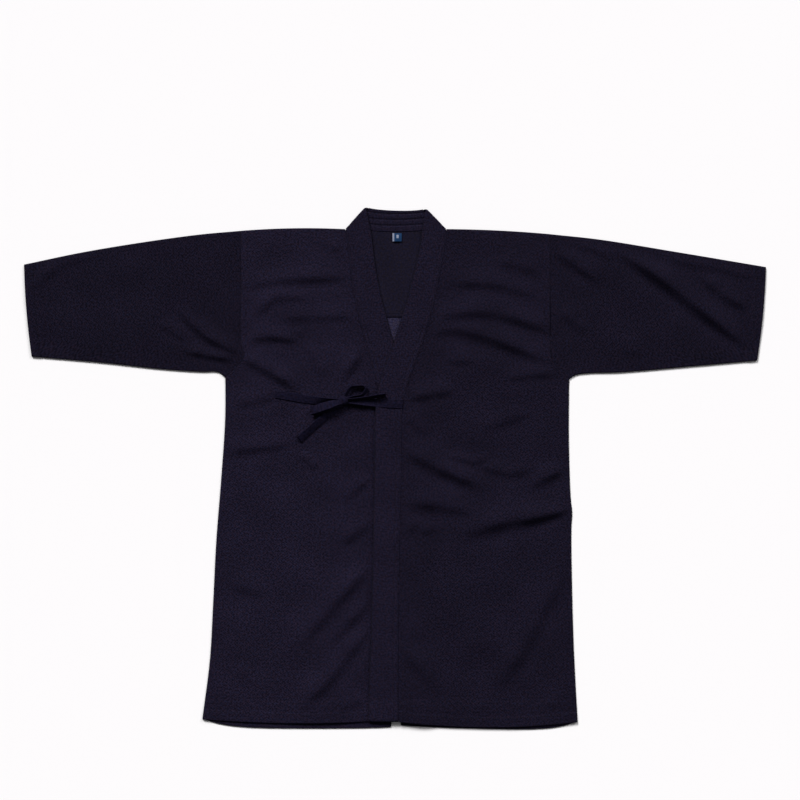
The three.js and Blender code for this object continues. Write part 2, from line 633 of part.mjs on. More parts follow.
// The band down a front. At its top it turns down over the end of the band behind the neck.
const BAND_TURN = [
  { outerInset: 0, outerDrop: ALL_THE_WAY, innerInset: BAND, innerDrop: ALL_THE_WAY },
  { outerInset: 0, outerDrop: 2.6, innerInset: BAND, innerDrop: 1.2 },
  { outerInset: 1.2, outerDrop: 0.6, innerInset: BAND + 0.8, innerDrop: 0.4 },
];
const BAND_TURN_START = 0.1; // the turn stays clear of the shoulder by this share of the fold
const BAND_FIRST_ROW = 0.16; // the band is level from here on, counted in rows from the fold
function collarFront(cut, lift) {
  const bandRow = (place) => {
    const seam = pointOn(cut.seamLine, place);
    const free = pointOn(cut.freeLine, place);
    return BAND_SECTION.map(({ across, under, top }) => {
      const at = seam.clone().lerp(free, across);
      const base = frontBase(at.y) + lift(at.x, at.y);
      return { outer: at.clone().setZ(base + BAND * top), inner: at.clone().setZ(base + BAND * under) };
    });
  };
  const foldRun = cut.freeLine[0].clone().sub(cut.seamLine[0]).normalize();
  const inwards = level(-cut.out * foldRun.y, cut.out * foldRun.x);
  const turns = BAND_TURN.map(({ outerInset, outerDrop, innerInset, innerDrop }) => {
    const edge = bandRow(0);
    return edge.map(({ outer, inner }, column) => {
      const across = mix(BAND_TURN_START, 1, BAND_SECTION[column].across);
      const at = cut.seamLine[0].clone().lerp(cut.freeLine[0], across);
      const dropped = (z, drop) => Math.max(z - drop, SIDE_CLEAR);
      return {
        outer: at.clone().addScaledVector(inwards, outerInset).setZ(dropped(outer.z, outerDrop)),
        inner: at.clone().addScaledVector(inwards, innerInset).setZ(dropped(inner.z, innerDrop)),
      };
    });
  });
  const rows = [];
  for (let place = 0; place <= ROWS; place++) rows.push(bandRow(place || BAND_FIRST_ROW));
  return wallGeometry([...turns, ...rows]);
}

// The band behind the neck, seen from its inner side, stitched in rows.
const NECK_COLUMNS = 10;
function collarNeck() {
  const { left, right } = SIDES;
  const cornerInset = BAND + SEAM_GAP + 0.3;
  const rows = [];
  NECK_STITCH_LINES.forEach((line, i) => {
    const next = NECK_STITCH_LINES[i + 1];
    const between = next === undefined ? [] : NECK_GROOVE_SIDES.map((side) => mix(line, next, side));
    const shares = [line, ...between];
    const inside = i > 0 && next !== undefined;
    for (const share of shares) rows.push({ share, groove: inside && share === line });
  });
  const grid = rows.map(({ share, groove }) => {
    const ends = [right, left].map((cut) => {
      const low = level(cut.shoulder.neckX, cut.shoulder.neckY);
      return low.lerp(level(cut.bandTop.x, cut.bandTop.y), share).x - cut.out * cornerInset * NECK_END_SLANT;
    });
    const topEdge = (x) => {
      const across = (x - right.bandTop.x) / (left.bandTop.x - right.bandTop.x);
      const sag = COLLAR_SAG * Math.sqrt(Math.max(0, bulge(across)));
      return mix(right.bandTop.y, left.bandTop.y, across) - sag;
    };
    return [...Array(NECK_COLUMNS + 1).keys()].map((column) => {
      const x = mix(ends[0], ends[1], column / NECK_COLUMNS);
      const cut = x > CENTRE_X ? left : right;
      const neckShare = (x - cut.shoulder.neckX) / (CENTRE_X - cut.shoulder.neckX);
      const lowY = neckCurve(cut, THREE.MathUtils.clamp(neckShare, 0, 1)).y + SEAM_GAP;
      const y = mix(lowY, Math.max(topEdge(x) - NECK_EDGE_DROP, lowY + NECK_MIN_WIDTH), share);
      const edge = share === 0 || share === 1 ? NECK_EDGE_DROP : 0;
      const top = BAND - (groove ? NECK_GROOVE : 0) - edge;
      return { outer: level(x, y, top), inner: level(x, y, 0) };
    });
  });
  return wallGeometry(grid);
}

// The lining of the upper back, between the back and the fronts.
const LINING_COLUMNS = 18;
function backLining() {
  const xFrom = SIDES.right.armholeLine[0].x + 2 * SEAM_GAP;
  const xTo = SIDES.left.armholeLine[0].x - 2 * SEAM_GAP;
  const topAt = (x) => {
    const cut = x > CENTRE_X ? SIDES.left : SIDES.right;
    const pastNeck = (x - cut.shoulder.neckX) / (cut.armholeLine[0].x - cut.shoulder.neckX);
    const shoulder = mix(cut.shoulder.neckY, cut.armholeLine[0].y, pastNeck);
    if (pastNeck > 0) return shoulder - FOLD_INSET - SEAM_GAP;
    const neckShare = (x - cut.shoulder.neckX) / (CENTRE_X - cut.shoulder.neckX);
    return neckCurve(cut, Math.min(1, neckShare)).y - FOLD_INSET * (1 - smooth(0, 0.3, neckShare));
  };
  const grid = [0, 0.5, 1].map((down) =>
    [...Array(LINING_COLUMNS + 1).keys()].map((column) => {
      const x = mix(xFrom, xTo, column / LINING_COLUMNS);
      const at = level(x, mix(topAt(x), LINING_EDGE, down));
      return { outer: at.clone().setZ(OVER_BACK + LINING), inner: at.clone().setZ(OVER_BACK) };
    }),
  );
  return wallGeometry(grid);
}

function sizeLabel() {
  const z = OVER_BACK + OVER_LINING;
  const grid = [0, 0.35, 1].map((down) =>
    [-0.5, 0.5].map((side) => {
      const curled = z + LABEL.curl * bulge(down * LABEL.curlShare);
      const y = LABEL.top - down * LABEL.height;
      const at = level(LABEL.x + side * LABEL.width, y, curled);
      return { outer: at.clone().setZ(at.z + LABEL.thick), inner: at };
    }),
  );
  return wallGeometry(grid);
}

// Top of what the tie lies on: the right front, and from the free edge of the left band that band.
const BAND_CLIMB = 9; // the tape starts to climb this far before the band's edge
function clothTop(x, y) {
  const front = frontBase(y) + foldHeight(x, y) + CLOTH;
  const band = frontBase(y) + overlapLift(x, y) + BAND;
  return mix(front, band, smooth(-BAND_CLIMB, 0, x - columnAtHeight(SIDES.left.freeLine, y, "x")));
}

// A stretch of tape along a smooth line through the rows of its table.
function tapeGeometry(rows) {
  const first = level(rows[0].x, rows[0].y);
  const places = rows.map((row) => level(row.x, row.y));
  const far = places.sort((a, b) => b.distanceTo(first) - a.distanceTo(first))[0];
  const side = level(first.y - far.y, far.x - first.x).normalize();
  if (side.y < 0) side.negate();
  const centres = rows.map((row) => {
    const lean = THREE.MathUtils.degToRad(row.lean);
    const half = (row.wide * TAPE.width) / 2;
    const under = [-1, 0, 1].map((end) => {
      const at = level(row.x, row.y).addScaledVector(side, end * half * Math.cos(lean));
      return clothTop(at.x, at.y) + end * half * Math.sin(lean) * -1;
    });
    const rest = SEAM_GAP + (Math.cos(lean) * TAPE.thick) / 2;
    return level(row.x, row.y, Math.max(...under) + rest + row.lift);
  });
  const line = new THREE.CatmullRomCurve3(centres, false, "centripetal");
  const steps = TAPE.steps * (rows.length - 1);
  const rings = [...Array(steps + 1).keys()].map((step) => {
    const share = step / steps;
    const tangent = line.getTangent(share);
    const lean = THREE.MathUtils.degToRad(columnAt(rows, share, "lean"));
    const wide = side.clone().multiplyScalar(Math.cos(lean)).setZ(Math.sin(lean));
    wide.addScaledVector(tangent, -wide.dot(tangent)).normalize();
    const thick = tangent.clone().cross(wide);
    const half = (columnAt(rows, share, "wide") * TAPE.width) / 2;
    return TAPE_SECTION.map(({ across, through }) => {
      const point = line.getPoint(share).addScaledVector(wide, across * half);
      return point.addScaledVector(thick, (through * TAPE.thick) / 2);
    });
  });
  return ringGeometry(rings);
}

// The knot, a squashed lump that the tapes run into. Their ends are cut off at its surface.
function knotGeometry(grown) {
  const ball = new THREE.SphereGeometry(1, 20, 12);
  ball.scale(KNOT.long / 2 + grown, KNOT.wide / 2 + grown, KNOT.high / 2 + grown);
  ball.rotateZ(KNOT.turn);
  return ball.translate(KNOT.x, KNOT.y, clothTop(KNOT.x, KNOT.y) + SEAM_GAP + KNOT.high / 2);
}

const wasm = await Module();
wasm.setup();
function solidOf(geometry) {
  const bare = new THREE.BufferGeometry();
  bare.setAttribute("position", geometry.getAttribute("position")).setIndex(geometry.getIndex());
  const merged = mergeVertices(bare, 1e-4);
  const mesh = { numProp: 3, vertProperties: merged.attributes.position.array };
  return new wasm.Manifold(new wasm.Mesh({ ...mesh, triVerts: new Uint32Array(merged.index.array) }));
}
function cutAtKnot(geometry) {
  const cut = solidOf(geometry).subtract(solidOf(knotGeometry(SEAM_GAP))).getMesh();
  return closedGeometry([...cut.vertProperties], [...cut.triVerts]);
}

const group = new THREE.Group();
function add(name, geometry, cloth) {
  const mesh = new THREE.Mesh(geometry, cloth);
  mesh.name = name;
  group.add(mesh);
}

add("body_right", bodyHalf(SIDES.right, noLift), jersey);
add("body_left", bodyHalf(SIDES.left, overlapLift), jersey);
add("sleeve_right", sleeve(SIDES.right), jersey);
add("sleeve_left", sleeve(SIDES.left), jersey);
add("collar_neck", collarNeck(), jersey);
add("collar_right", collarFront(SIDES.right, noLift), jersey);
add("collar_left", collarFront(SIDES.left, overlapLift), jersey);
add("back_lining", backLining(), lining);
add("size_label", sizeLabel(), labelCloth);
add("bow_knot", knotGeometry(0), tape);
for (const [name, rows] of Object.entries(TAPES)) add(name, cutAtKnot(tapeGeometry(rows)), tape);

export default group;
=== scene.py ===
# Jersey jacket for sword training, laid flat on its back with its front upwards and its tie bowed.
# Metres, +Z up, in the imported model's frame. The tables below are in millimetres: X runs across the
# sleeves, Y towards the collar. Left and right are the wearer's, and the left front lies on top.
import math

import bpy
import numpy as np
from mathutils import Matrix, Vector
from mathutils.bvhtree import BVHTree


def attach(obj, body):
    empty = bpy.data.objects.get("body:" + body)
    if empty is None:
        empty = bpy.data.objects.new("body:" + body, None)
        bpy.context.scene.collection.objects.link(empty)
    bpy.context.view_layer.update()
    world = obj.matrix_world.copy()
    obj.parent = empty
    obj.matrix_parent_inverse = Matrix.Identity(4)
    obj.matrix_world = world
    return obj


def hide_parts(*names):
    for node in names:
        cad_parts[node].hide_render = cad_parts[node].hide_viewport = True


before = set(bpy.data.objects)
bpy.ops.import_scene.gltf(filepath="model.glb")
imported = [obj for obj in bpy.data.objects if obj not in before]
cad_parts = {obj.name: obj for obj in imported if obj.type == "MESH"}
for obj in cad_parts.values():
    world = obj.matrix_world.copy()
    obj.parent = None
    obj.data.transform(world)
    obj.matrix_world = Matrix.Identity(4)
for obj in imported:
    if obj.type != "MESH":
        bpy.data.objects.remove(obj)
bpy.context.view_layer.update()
mm = 0.001

# Camera: straight above the cloth, at the photo's own framing.
photoFrame = {"x": 0.0089, "y": 0.1209, "width": 1.4224, "clothHeight": 0.005, "lens": 85, "sensor": 36}


def addCamera():
    away = photoFrame["width"] * photoFrame["lens"] / photoFrame["sensor"]
    place = (photoFrame["x"], photoFrame["y"], photoFrame["clothHeight"] + away)
    bpy.ops.object.camera_add(location=place, rotation=(0, 0, 0))
    camera = bpy.context.object
    camera.name = "camera"
    camera.data.lens = photoFrame["lens"]
    camera.data.sensor_width = photoFrame["sensor"]
    camera.data.clip_end = 50
    bpy.context.scene.camera = camera


addCamera()
print("camera placed")

# What the cloth is, in mm. shell is the drawn thickness: each layer keeps a little air under it.
cloth = {
    "wall": 1.5,
    "shell": 1.05,
    "lining": 1.0,
    "band": 3.0,
    "gap": 0.3,
    "centreGap": 0.02,
    "hemRise": 0.9,
    "bodyHem": 17,
    "cuffHem": 18,
    "fold": 2.2,
    "loft": 1.0,
    "clearOfFloor": 0.25,
}

# The cut of the two halves, each line as (x, y), the band's seam as (x, y, width of the band).
halves = {
    "left": {
        "neck": (91.5, 425),
        "shoulderBow": 2,
        "armhole": [(276.5, 416), (276.5, 320), (276.5, 225), (280.5, 190), (310, 157.5)],
        "side": [
            (310, 157.5), (309.5, 50), (313, -56), (315.5, -78), (314, -110), (317.5, -300),
            (325, -452),
        ],
        "bandSeam": [
            (91.5, 425, 54), (90, 400, 44), (83.5, 366, 44), (75.5, 321, 47), (62, 265, 49),
            (46, 214, 49), (22.5, 148, 49), (14, 112, 48), (11.5, 0, 48.5), (7.5, -168, 47),
            (6, -303, 49), (6, -451, 54),
        ],
        "bandTop": (54.5, 463),
        "hemBow": -10,
        "slit": (10.5, -458),
        "cuffLow": (644.5, 191),
        "sleeveTop": [(276.5, 416), (364, 406.5), (506, 383.5), (631, 362.5), (660, 357.5)],
        "sleeveLow": [(310, 157.5), (322, 165), (346, 168.5), (400, 170), (542, 182), (644.5, 191)],
    },
    "right": {
        "neck": (-88.5, 425),
        "shoulderBow": 3,
        "armhole": [(-274, 422), (-274, 320), (-274, 222), (-270, 196), (-302, 160)],
        "side": [
            (-302, 160), (-302.5, 86), (-309.5, -20), (-318, -127), (-323.5, -234), (-329.5, -340),
            (-343, -447),
        ],
        "bandSeam": [
            (-88.5, 425, 54), (-85, 400, 45), (-80, 353, 46), (-74.5, 313, 48), (-63, 260, 49),
            (-44.5, 193, 49), (-27, 125, 48), (-16, 60, 48), (-14, 0, 48), (-14, -168, 48),
            (-15, -303, 49), (-16, -449, 51),
        ],
        "bandTop": (-51.5, 466),
        "hemBow": -6,
        "slit": (-7, -461),
        "cuffLow": (-646.5, 198),
        "sleeveTop": [(-274, 422), (-347, 415.5), (-453, 401), (-560, 383), (-660, 362)],
        "sleeveLow": [(-302, 160), (-314, 170), (-346, 171), (-418, 176), (-524, 187.5), (-646.5, 198)],
    },
}
cut = {
    "armRows": 12,
    "sideRows": 27,
    "centreX": 1.8,
    "slitTop": -341,
    "backHemDrop": 15.6,
    "neckDip": 5.5,
    "collarSag": 6,
    "liningEdge": 268.5,
    "cuffBow": 2.5,
    "sideInset": 1.9,
    "hemRiseOver": (-425, -408),
    "liningFade": (34, 4),
    "neckBandOver": (370, 400),
    "pastBandSeam": (-28, -10),
    "pastOverlap": (10, 45),
}
cut["rows"] = cut["armRows"] + cut["sideRows"]

# Creases, listed one by one: (height, width at its first point, width at its last, line of its shaded side).
creases = {
    "frontRight": [
        (1.6, 14, 14, [(-142, 405), (-96, 382)]),
        (3.0, 15, 14, [(-256, 322), (-199, 329), (-82, 334)]),
        (2.0, 14, 12, [(-247, 265), (-210, 297), (-156, 299)]),
        (1.8, 13, 13, [(-199, 263), (-71, 265)]),
        (3.6, 15, 12, [(-256, 222), (-228, 228), (-171, 222)]),
        (1.8, 12, 14, [(-162, 219), (-133, 162)]),
        (4.0, 15, 13, [(-270, 190), (-199, 151), (-178, 133)]),
        (3.0, 13, 12, [(-53, 208), (-91, 151)]),
        (1.8, 14, 14, [(-284, 108), (-213, 123)]),
        (1.2, 8, 8, [(-181, 243), (-167, 233)]),
        (2.3, 15, 13, [(-302, 25), (-229, 32), (-185, 39)]),
        (1.8, 8, 8, [(-171, 23), (-142, -4)]),
        (1.9, 13, 12, [(-85, -60), (-44, -20)]),
        (1.9, 14, 12, [(-94, -140), (-41, -101)]),
        (3.8, 19, 17, [(-162, -316), (-112, -258), (-43, -181)]),
        (2.3, 16, 13, [(-112, -316), (-41, -240)]),
        (3.8, 20, 17, [(-167, -434), (-112, -380), (-43, -290)]),
        (1.6, 13, 11, [(-94, -430), (-50, -416)]),
        (1.6, 15, 15, [(-297, -210), (-235, -231)]),
        (2.0, 18, 16, [(-288, -295), (-265, -348), (-247, -380)]),
        (1.1, 12, 12, [(-148, -2), (-148, -123)]),
    ],
    "frontLeft": [
        (3.8, 18, 15, [(80, 265), (151, 270), (199, 263), (265, 242)]),
        (4.3, 18, 16, [(66, 233), (103, 240), (174, 222), (222, 204), (274, 185)]),
        (2.4, 15, 14, [(94, 322), (165, 322), (245, 304)]),
        (1.6, 14, 13, [(180, 364), (256, 343)]),
        (1.5, 12, 12, [(89, 187), (142, 185)]),
        (3.0, 14, 14, [(23, 119), (103, 133)]),
        (2.0, 13, 13, [(199, 156), (288, 164)]),
        (1.8, 14, 14, [(160, 66), (245, 94)]),
        (1.6, 12, 12, [(14, 91), (52, 57)]),
        (4.8, 18, 17, [(14, 25), (91, -14), (149, -37)]),
        (1.7, 9, 9, [(91, 21), (144, 7), (171, 21)]),
        (2.0, 13, 13, [(153, -2), (208, -14), (244, -5)]),
        (3.5, 16, 14, [(244, -37), (306, -5)]),
        (3.6, 20, 18, [(23, -69), (73, -73), (135, -84)]),
        (5.6, 26, 12, [(128, -124), (194, -105), (244, -96), (311, -78)]),
        (1.6, 12, 12, [(18, -123), (46, -96)]),
        (1.5, 11, 11, [(46, -119), (73, -110)]),
        (4.0, 24, 22, [(302, -196), (270, -258), (226, -340), (190, -389)]),
        (2.0, 15, 15, [(9, -325), (68, -393)]),
        (1.3, 9, 9, [(268, -418), (284, -428)]),
    ],
    "sleeveRight": [
        (2.6, 17, 14, [(-634, 315), (-620, 337), (-592, 360), (-530, 376)]),
        (3.7, 12, 12, [(-386, 276), (-350, 240), (-320, 219), (-283, 204)]),
        (1.8, 11, 11, [(-422, 254), (-400, 241), (-378, 227)]),
        (2.9, 10, 11, [(-374, 205), (-334, 196), (-290, 188)]),
    ],
    "sleeveLeft": [
        (6.2, 17, 16, [(400, 379), (461, 335), (533, 280), (577, 246), (620, 215)]),
        (3.0, 15, 13, [(286, 379), (317, 357), (357, 328)]),
        (2.6, 14, 13, [(455, 383), (516, 363), (580, 350), (634, 337)]),
        (2.8, 15, 14, [(540, 338), (578, 305), (627, 277)]),
        (1.8, 13, 12, [(300, 398), (345, 388), (385, 372)]),
        (1.6, 14, 12, [(290, 275), (312, 258), (335, 238)]),
        (1.1, 12, 12, [(430, 236), (434, 199)]),
    ],
    # The hidden side rests flat, so its creases are shallow troughs.
    "back": [
        (0.7, 20, 16, [(-250, 250), (-150, 214), (-60, 222)]),
        (0.6, 18, 18, [(70, 300), (160, 262), (240, 266)]),
        (0.7, 22, 18, [(-270, -60), (-170, -96), (-80, -80)]),
        (0.6, 18, 20, [(40, -20), (130, -64), (250, -50)]),
        (0.7, 20, 16, [(-240, -300), (-150, -236), (-40, -190)]),
        (0.6, 22, 18, [(60, -360), (150, -290), (270, -250)]),
    ],
    "sleeveBack": [
        (0.6, 16, 16, [(-600, 300), (-500, 250), (-360, 232)]),
        (0.7, 18, 14, [(320, 330), (430, 280), (600, 240)]),
    ],
}


def soften(low, high, value):
    t = np.clip((value - low) / (high - low), 0, 1)
    return t * t * (3 - 2 * t)


def mix(a, b, share):
    return a + (b - a) * share


def bulge(share):
    return 4 * share * (1 - share)


def dent(distance, width):
    return np.exp(-((distance / width) ** 2))


# Share of its full height that a rounded edge has at a distance from its end.
def rounding(distance, radius):
    return np.sqrt(1 - (1 - np.clip(distance / radius, 0, 1)) ** 2)


# A smooth line through a few points, then points at shares of its length.
def smoothPath(points, perSpan=40):
    points = np.array(points, float)
    padded = np.vstack([2 * points[0] - points[1], points, 2 * points[-1] - points[-2]])
    t = np.linspace(0, 1, perSpan, endpoint=False)[:, None]
    spans = []
    for p0, p1, p2, p3 in zip(padded, padded[1:], padded[2:], padded[3:]):
        d0, d1, d2 = (np.linalg.norm(b - a) ** 0.5 for a, b in ((p0, p1), (p1, p2), (p2, p3)))
        start = ((p1 - p0) / d0 - (p2 - p0) / (d0 + d1) + (p2 - p1) / d1) * d1
        end = ((p2 - p1) / d1 - (p3 - p1) / (d1 + d2) + (p3 - p2) / d2) * d1
        bend = (2 * t**3 - 3 * t**2 + 1) * p1 + (t**3 - 2 * t**2 + t) * start
        spans.append(bend + (3 * t**2 - 2 * t**3) * p2 + (t**3 - t**2) * end)
    return np.vstack(spans + [points[-1:]])


def lengthAlong(path):
    return np.concatenate([[0], np.cumsum(np.linalg.norm(np.diff(path, axis=0), axis=1))])


def pointsAlong(path, shares):
    run = lengthAlong(path)
    shares = np.asarray(shares, float)
    return np.column_stack([np.interp(shares * run[-1], run, column) for column in path.T])


# Lines that neighbouring pieces share. A place counts rows down from the shoulder, as in the cut.
for name, half in halves.items():
    half["out"] = 1 if name == "left" else -1
    half["armPath"] = smoothPath(half["armhole"])
    half["sidePath"] = smoothPath(half["side"])
    half["seamPath"] = smoothPath([row[:2] for row in half["bandSeam"]])
    half["topPath"] = smoothPath(half["sleeveTop"])
    half["lowPath"] = smoothPath(half["sleeveLow"])


def outerAt(half, places):
    arm = pointsAlong(half["armPath"], np.clip(places / cut["armRows"], 0, 1))
    side = pointsAlong(half["sidePath"], np.clip((places - cut["armRows"]) / cut["sideRows"], 0, 1))
    return np.where((places <= cut["armRows"])[:, None], arm, side)


def seamAt(half, places):
    return pointsAlong(half["seamPath"], places / cut["rows"])


def freeAt(half, places):
    level = np.maximum(places, 1)
    seam = seamAt(half, level)
    run = seamAt(half, np.minimum(level + 1, cut["rows"])) - seamAt(half, level - 1)
    run /= np.linalg.norm(run, axis=1)[:, None]
    table = np.array(half["bandSeam"])[::-1]
    width = np.interp(seam[:, 1], table[:, 1], table[:, 2])[:, None]
    free = seam + np.column_stack([run[:, 1], -run[:, 0]]) * half["out"] * width
    return mix(np.array(half["bandTop"]), free, np.minimum(places, 1)[:, None])


for half in halves.values():
    allRows = np.linspace(cut["rows"], 0, 240)
    half["seamLine"] = seamAt(half, allRows)
    half["freeLine"] = freeAt(half, allRows)


def xOnLine(line, y):
    return np.interp(y, line[:, 1], line[:, 0])


# Heights of the layers that lie on each other.
overBack = cloth["wall"] + cloth["gap"]
overLining = cloth["lining"] + cloth["gap"]
overNeckBand = cloth["band"] + cloth["gap"] - overBack - overLining + 0.1


def overHem(y):
    return cloth["hemRise"] * (1 - soften(*cut["hemRiseOver"], y))


def frontBase(y):
    early, late = cut["liningFade"]
    lined = overLining * soften(cut["liningEdge"] - early, cut["liningEdge"] - late, y)
    return overBack + lined + overNeckBand * soften(*cut["neckBandOver"], y) + overHem(y)


def overlapLift(half, x, y):
    if half is halves["right"]:
        return np.zeros_like(x)
    pastEdge = x - xOnLine(halves["right"]["freeLine"], y)
    pastSeam = x - xOnLine(halves["right"]["seamLine"], y)
    band = (cloth["band"] - cloth["wall"]) * soften(*cut["pastBandSeam"], pastSeam)
    return (cloth["wall"] + cloth["gap"] + overHem(y) + band) * (1 - soften(*cut["pastOverlap"], pastEdge))


# A crease is a soft ridge whose far side, away from the light, falls off steeply.
ridge = {
    "strength": 1.5,
    "reach": 3.2,
    "centre": 0.55,
    "litSide": 1.25,
    "shadedSide": 0.62,
    "trough": 0.16,
    "pastEnds": 0.12,
    "endFade": 0.3,
    "towardsLight": (-0.45, 0.9),
}


def creaseHeight(rows, x, y):
    height = np.zeros_like(x)
    for number, (high, wideFrom, wideTo, points) in enumerate(rows):
        path = smoothPath(points)
        count = max(4, int(lengthAlong(path)[-1] / 4))
        line = pointsAlong(path, np.linspace(0, 1, count))
        reach = ridge["reach"] * max(wideFrom, wideTo)
        low, top = line.min(axis=0) - reach, line.max(axis=0) + reach
        near = (x > low[0]) & (x < top[0]) & (y > low[1]) & (y < top[1])
        if not near.any():
            continue
        at = np.column_stack([x[near], y[near]])
        run = np.gradient(line, axis=0)
        run /= np.linalg.norm(run, axis=1)[:, None]
        away = at[:, None, :] - line[None, :, :]
        closest = np.argmin((away**2).sum(axis=2), axis=1)
        offset = away[np.arange(len(at)), closest]
        along = (offset * run[closest]).sum(axis=1)
        normal = np.column_stack([-run[:, 1], run[:, 0]])
        litSide = normal.sum(axis=0) @ np.array(ridge["towardsLight"])
        normal *= 1 if litSide >= 0 else -1
        across = (offset * normal[closest]).sum(axis=1)
        spacing = lengthAlong(path)[-1] / (count - 1)
        share = (closest + along / spacing) / (count - 1)
        ends = soften(-ridge["pastEnds"], ridge["endFade"], share)
        ends *= soften(-ridge["pastEnds"], ridge["endFade"], 1 - share)
        uneven = 1 + 0.16 * np.sin(9.1 * share + 2.3 * number) + 0.08 * np.sin(21 * share + number)
        wide = mix(wideFrom, wideTo, np.clip(share, 0, 1)) * (0.78 + 0.26 * bulge(np.clip(share, 0, 1)))
        fromRidge = across - ridge["centre"] * wide
        spread = np.where(fromRidge > 0, ridge["litSide"], ridge["shadedSide"]) * wide
        shape = dent(fromRidge, spread) - ridge["trough"] * dent(across + 0.6 * wide, 0.6 * wide)
        height[near] += ridge["strength"] * high * shape * ends * uneven
    return height


# Broad unevenness of cloth that lies loose: (wavelength, direction in degrees, start, height).
waves = [
    (150, 20, 0.3, 0.42),
    (118, 74, 1.9, 0.34),
    (96, 128, 4.1, 0.3),
    (83, 47, 2.6, 0.24),
    (61, 99, 5.2, 0.16),
    (52, 158, 0.8, 0.13),
    (37, 63, 3.3, 0.07),
    (31, 141, 1.2, 0.06),
]


def unevenness(x, y):
    height = np.zeros(np.broadcast(x, y).shape)
    for length, direction, start, high in waves:
        angle = math.radians(direction)
        bent = x * math.cos(angle) + y * math.sin(angle) + 14 * np.sin((x - 2 * y) / 170 + start)
        height += high * np.sin(2 * math.pi * bent / length + start)
    return height


# Small puckers that stitching pulls into the cloth beside it: ripples as (height, length, start).
pucker = {"high": 0.12, "away": 3, "wide": 6, "ripples": [(1, 2.7, 0), (0.7, 1.9, 2), (0.5, 4.3, 1)]}


def puckers(fromSeam, alongSeam):
    ripple = sum(high * np.sin(alongSeam / length + start) for high, length, start in pucker["ripples"])
    return pucker["high"] * ripple * dent(fromSeam - pucker["away"], pucker["wide"])


# UV in metres of cloth, so that a weave keeps its real pitch round every fold.
def realUv(grid, ring):
    closed = np.concatenate([grid, grid[:, :1]], axis=1) if ring else grid
    across = np.cumsum(np.linalg.norm(np.diff(closed, axis=1), axis=2), axis=1)
    across = np.concatenate([np.zeros((len(closed), 1)), across], axis=1)
    along = np.cumsum(np.linalg.norm(np.diff(closed, axis=0), axis=2), axis=0)
    along = np.concatenate([np.zeros((1, closed.shape[1])), along], axis=0)
    if not ring:
        across += np.abs(closed[:, :1, 0])
        along += closed[:1, :, 1]
    return np.stack([across, along], axis=2) * mm


def linkMesh(name, points, faces):
    mesh = bpy.data.meshes.new(name)
    mesh.from_pydata(points, [], faces)
    mesh.shade_smooth()
    piece = bpy.data.objects.new(name, mesh)
    bpy.context.collection.objects.link(piece)
    return piece


# A grid of points made into cloth. ring joins its columns, loop its rows, and caps closes a tube's ends.
def clothMesh(name, grid, ring=False, caps=False, loop=False, uv=None):
    rows, columns = grid.shape[:2]
    index = np.arange(rows * columns).reshape(rows, columns)
    right = np.roll(index, -1, axis=1) if ring else index[:, 1:]
    left = index if ring else index[:, :-1]
    faces = np.stack([left[:-1], right[:-1], right[1:], left[1:]], axis=2).reshape(-1, 4)
    uv = realUv(grid, ring) if uv is None else uv
    a, b = uv[:, :-1], uv[:, 1:]
    corners = np.stack([a[:-1], b[:-1], b[1:], a[1:]], axis=2).reshape(-1, 4, 2)
    if loop:
        last = np.stack([left[-1], right[-1], right[0], left[0]], axis=1)
        faces = np.concatenate([faces, last])
        step = uv[-1:] - uv[-2:-1]
        a, b = uv[-1, :-1], uv[-1, 1:]
        ends = np.stack([a, b, b + step[0, 1:], a + step[0, :-1]], axis=1)
        corners = np.concatenate([corners, ends])
    points = grid.reshape(-1, 3)
    centres = points[faces].mean(axis=1)
    normals = np.cross(points[faces[:, 2]] - points[faces[:, 0]], points[faces[:, 3]] - points[faces[:, 1]])
    upper = centres[:, 2] >= np.median(centres[:, 2])
    turned = normals[upper, 2].sum() < 0
    if turned:
        faces = faces[:, ::-1]
        corners = corners[:, ::-1]
    polygons = faces.tolist()
    loops = corners.reshape(-1, 2)
    if caps:
        for end, first in ((index[0], True), (index[-1], False)):
            cap = end.tolist()
            if first != turned:
                cap = cap[::-1]
            polygons.append(cap)
            loops = np.concatenate([loops, points[cap][:, :2] * mm])
    piece = linkMesh(name, (points * mm).tolist(), polygons)
    layer = piece.data.uv_layers.new(name="cut")
    layer.data.foreach_set("uv", loops.ravel())
    return piece


# The modifier is applied at once, since later pieces lie on the finished surface.
def useModifier(piece, kind, **settings):
    bpy.ops.object.select_all(action="DESELECT")
    bpy.context.view_layer.objects.active = piece
    piece.select_set(True)
    modifier = piece.modifiers.new(kind.lower(), kind)
    for key, value in settings.items():
        setattr(modifier, key, value)
    bpy.ops.object.modifier_apply(modifier=modifier.name)
    piece.data.set_sharp_from_angle(angle=math.radians(55))


def finishPiece(piece, materials, replaced):
    for material in materials:
        piece.data.materials.append(material)
    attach(piece, "root")
    if replaced:
        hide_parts(replaced)


pieces = {}


def addPiece(node, kind, grid, slot, materials, shell=0, **settings):
    piece = clothMesh(node + "_" + kind, grid, **settings)
    finishPiece(piece, materials, node)
    if shell:
        inside = len(materials) - 1
        useModifier(piece, "SOLIDIFY", thickness=shell * mm, offset=-1, material_offset=inside)
    pieces[node] = piece


# Materials. sRGB hex colours are turned to linear by one function, nodes are added by another.
def linear(hexColour):
    channels = [int(hexColour[i:i + 2], 16) / 255 for i in (1, 3, 5)]
    return [c / 12.92 if c <= 0.04045 else ((c + 0.055) / 1.055) ** 2.4 for c in channels] + [1]


def addNode(tree, kind, inputs=None, **settings):
    node = tree.nodes.new(kind)
    for key, value in settings.items():
        setattr(node, key, value)
    for socket, value in (inputs or {}).items():
        if isinstance(value, bpy.types.NodeSocket):
            tree.links.new(value, node.inputs[socket])
        else:
            node.inputs[socket].default_value = value
    return node


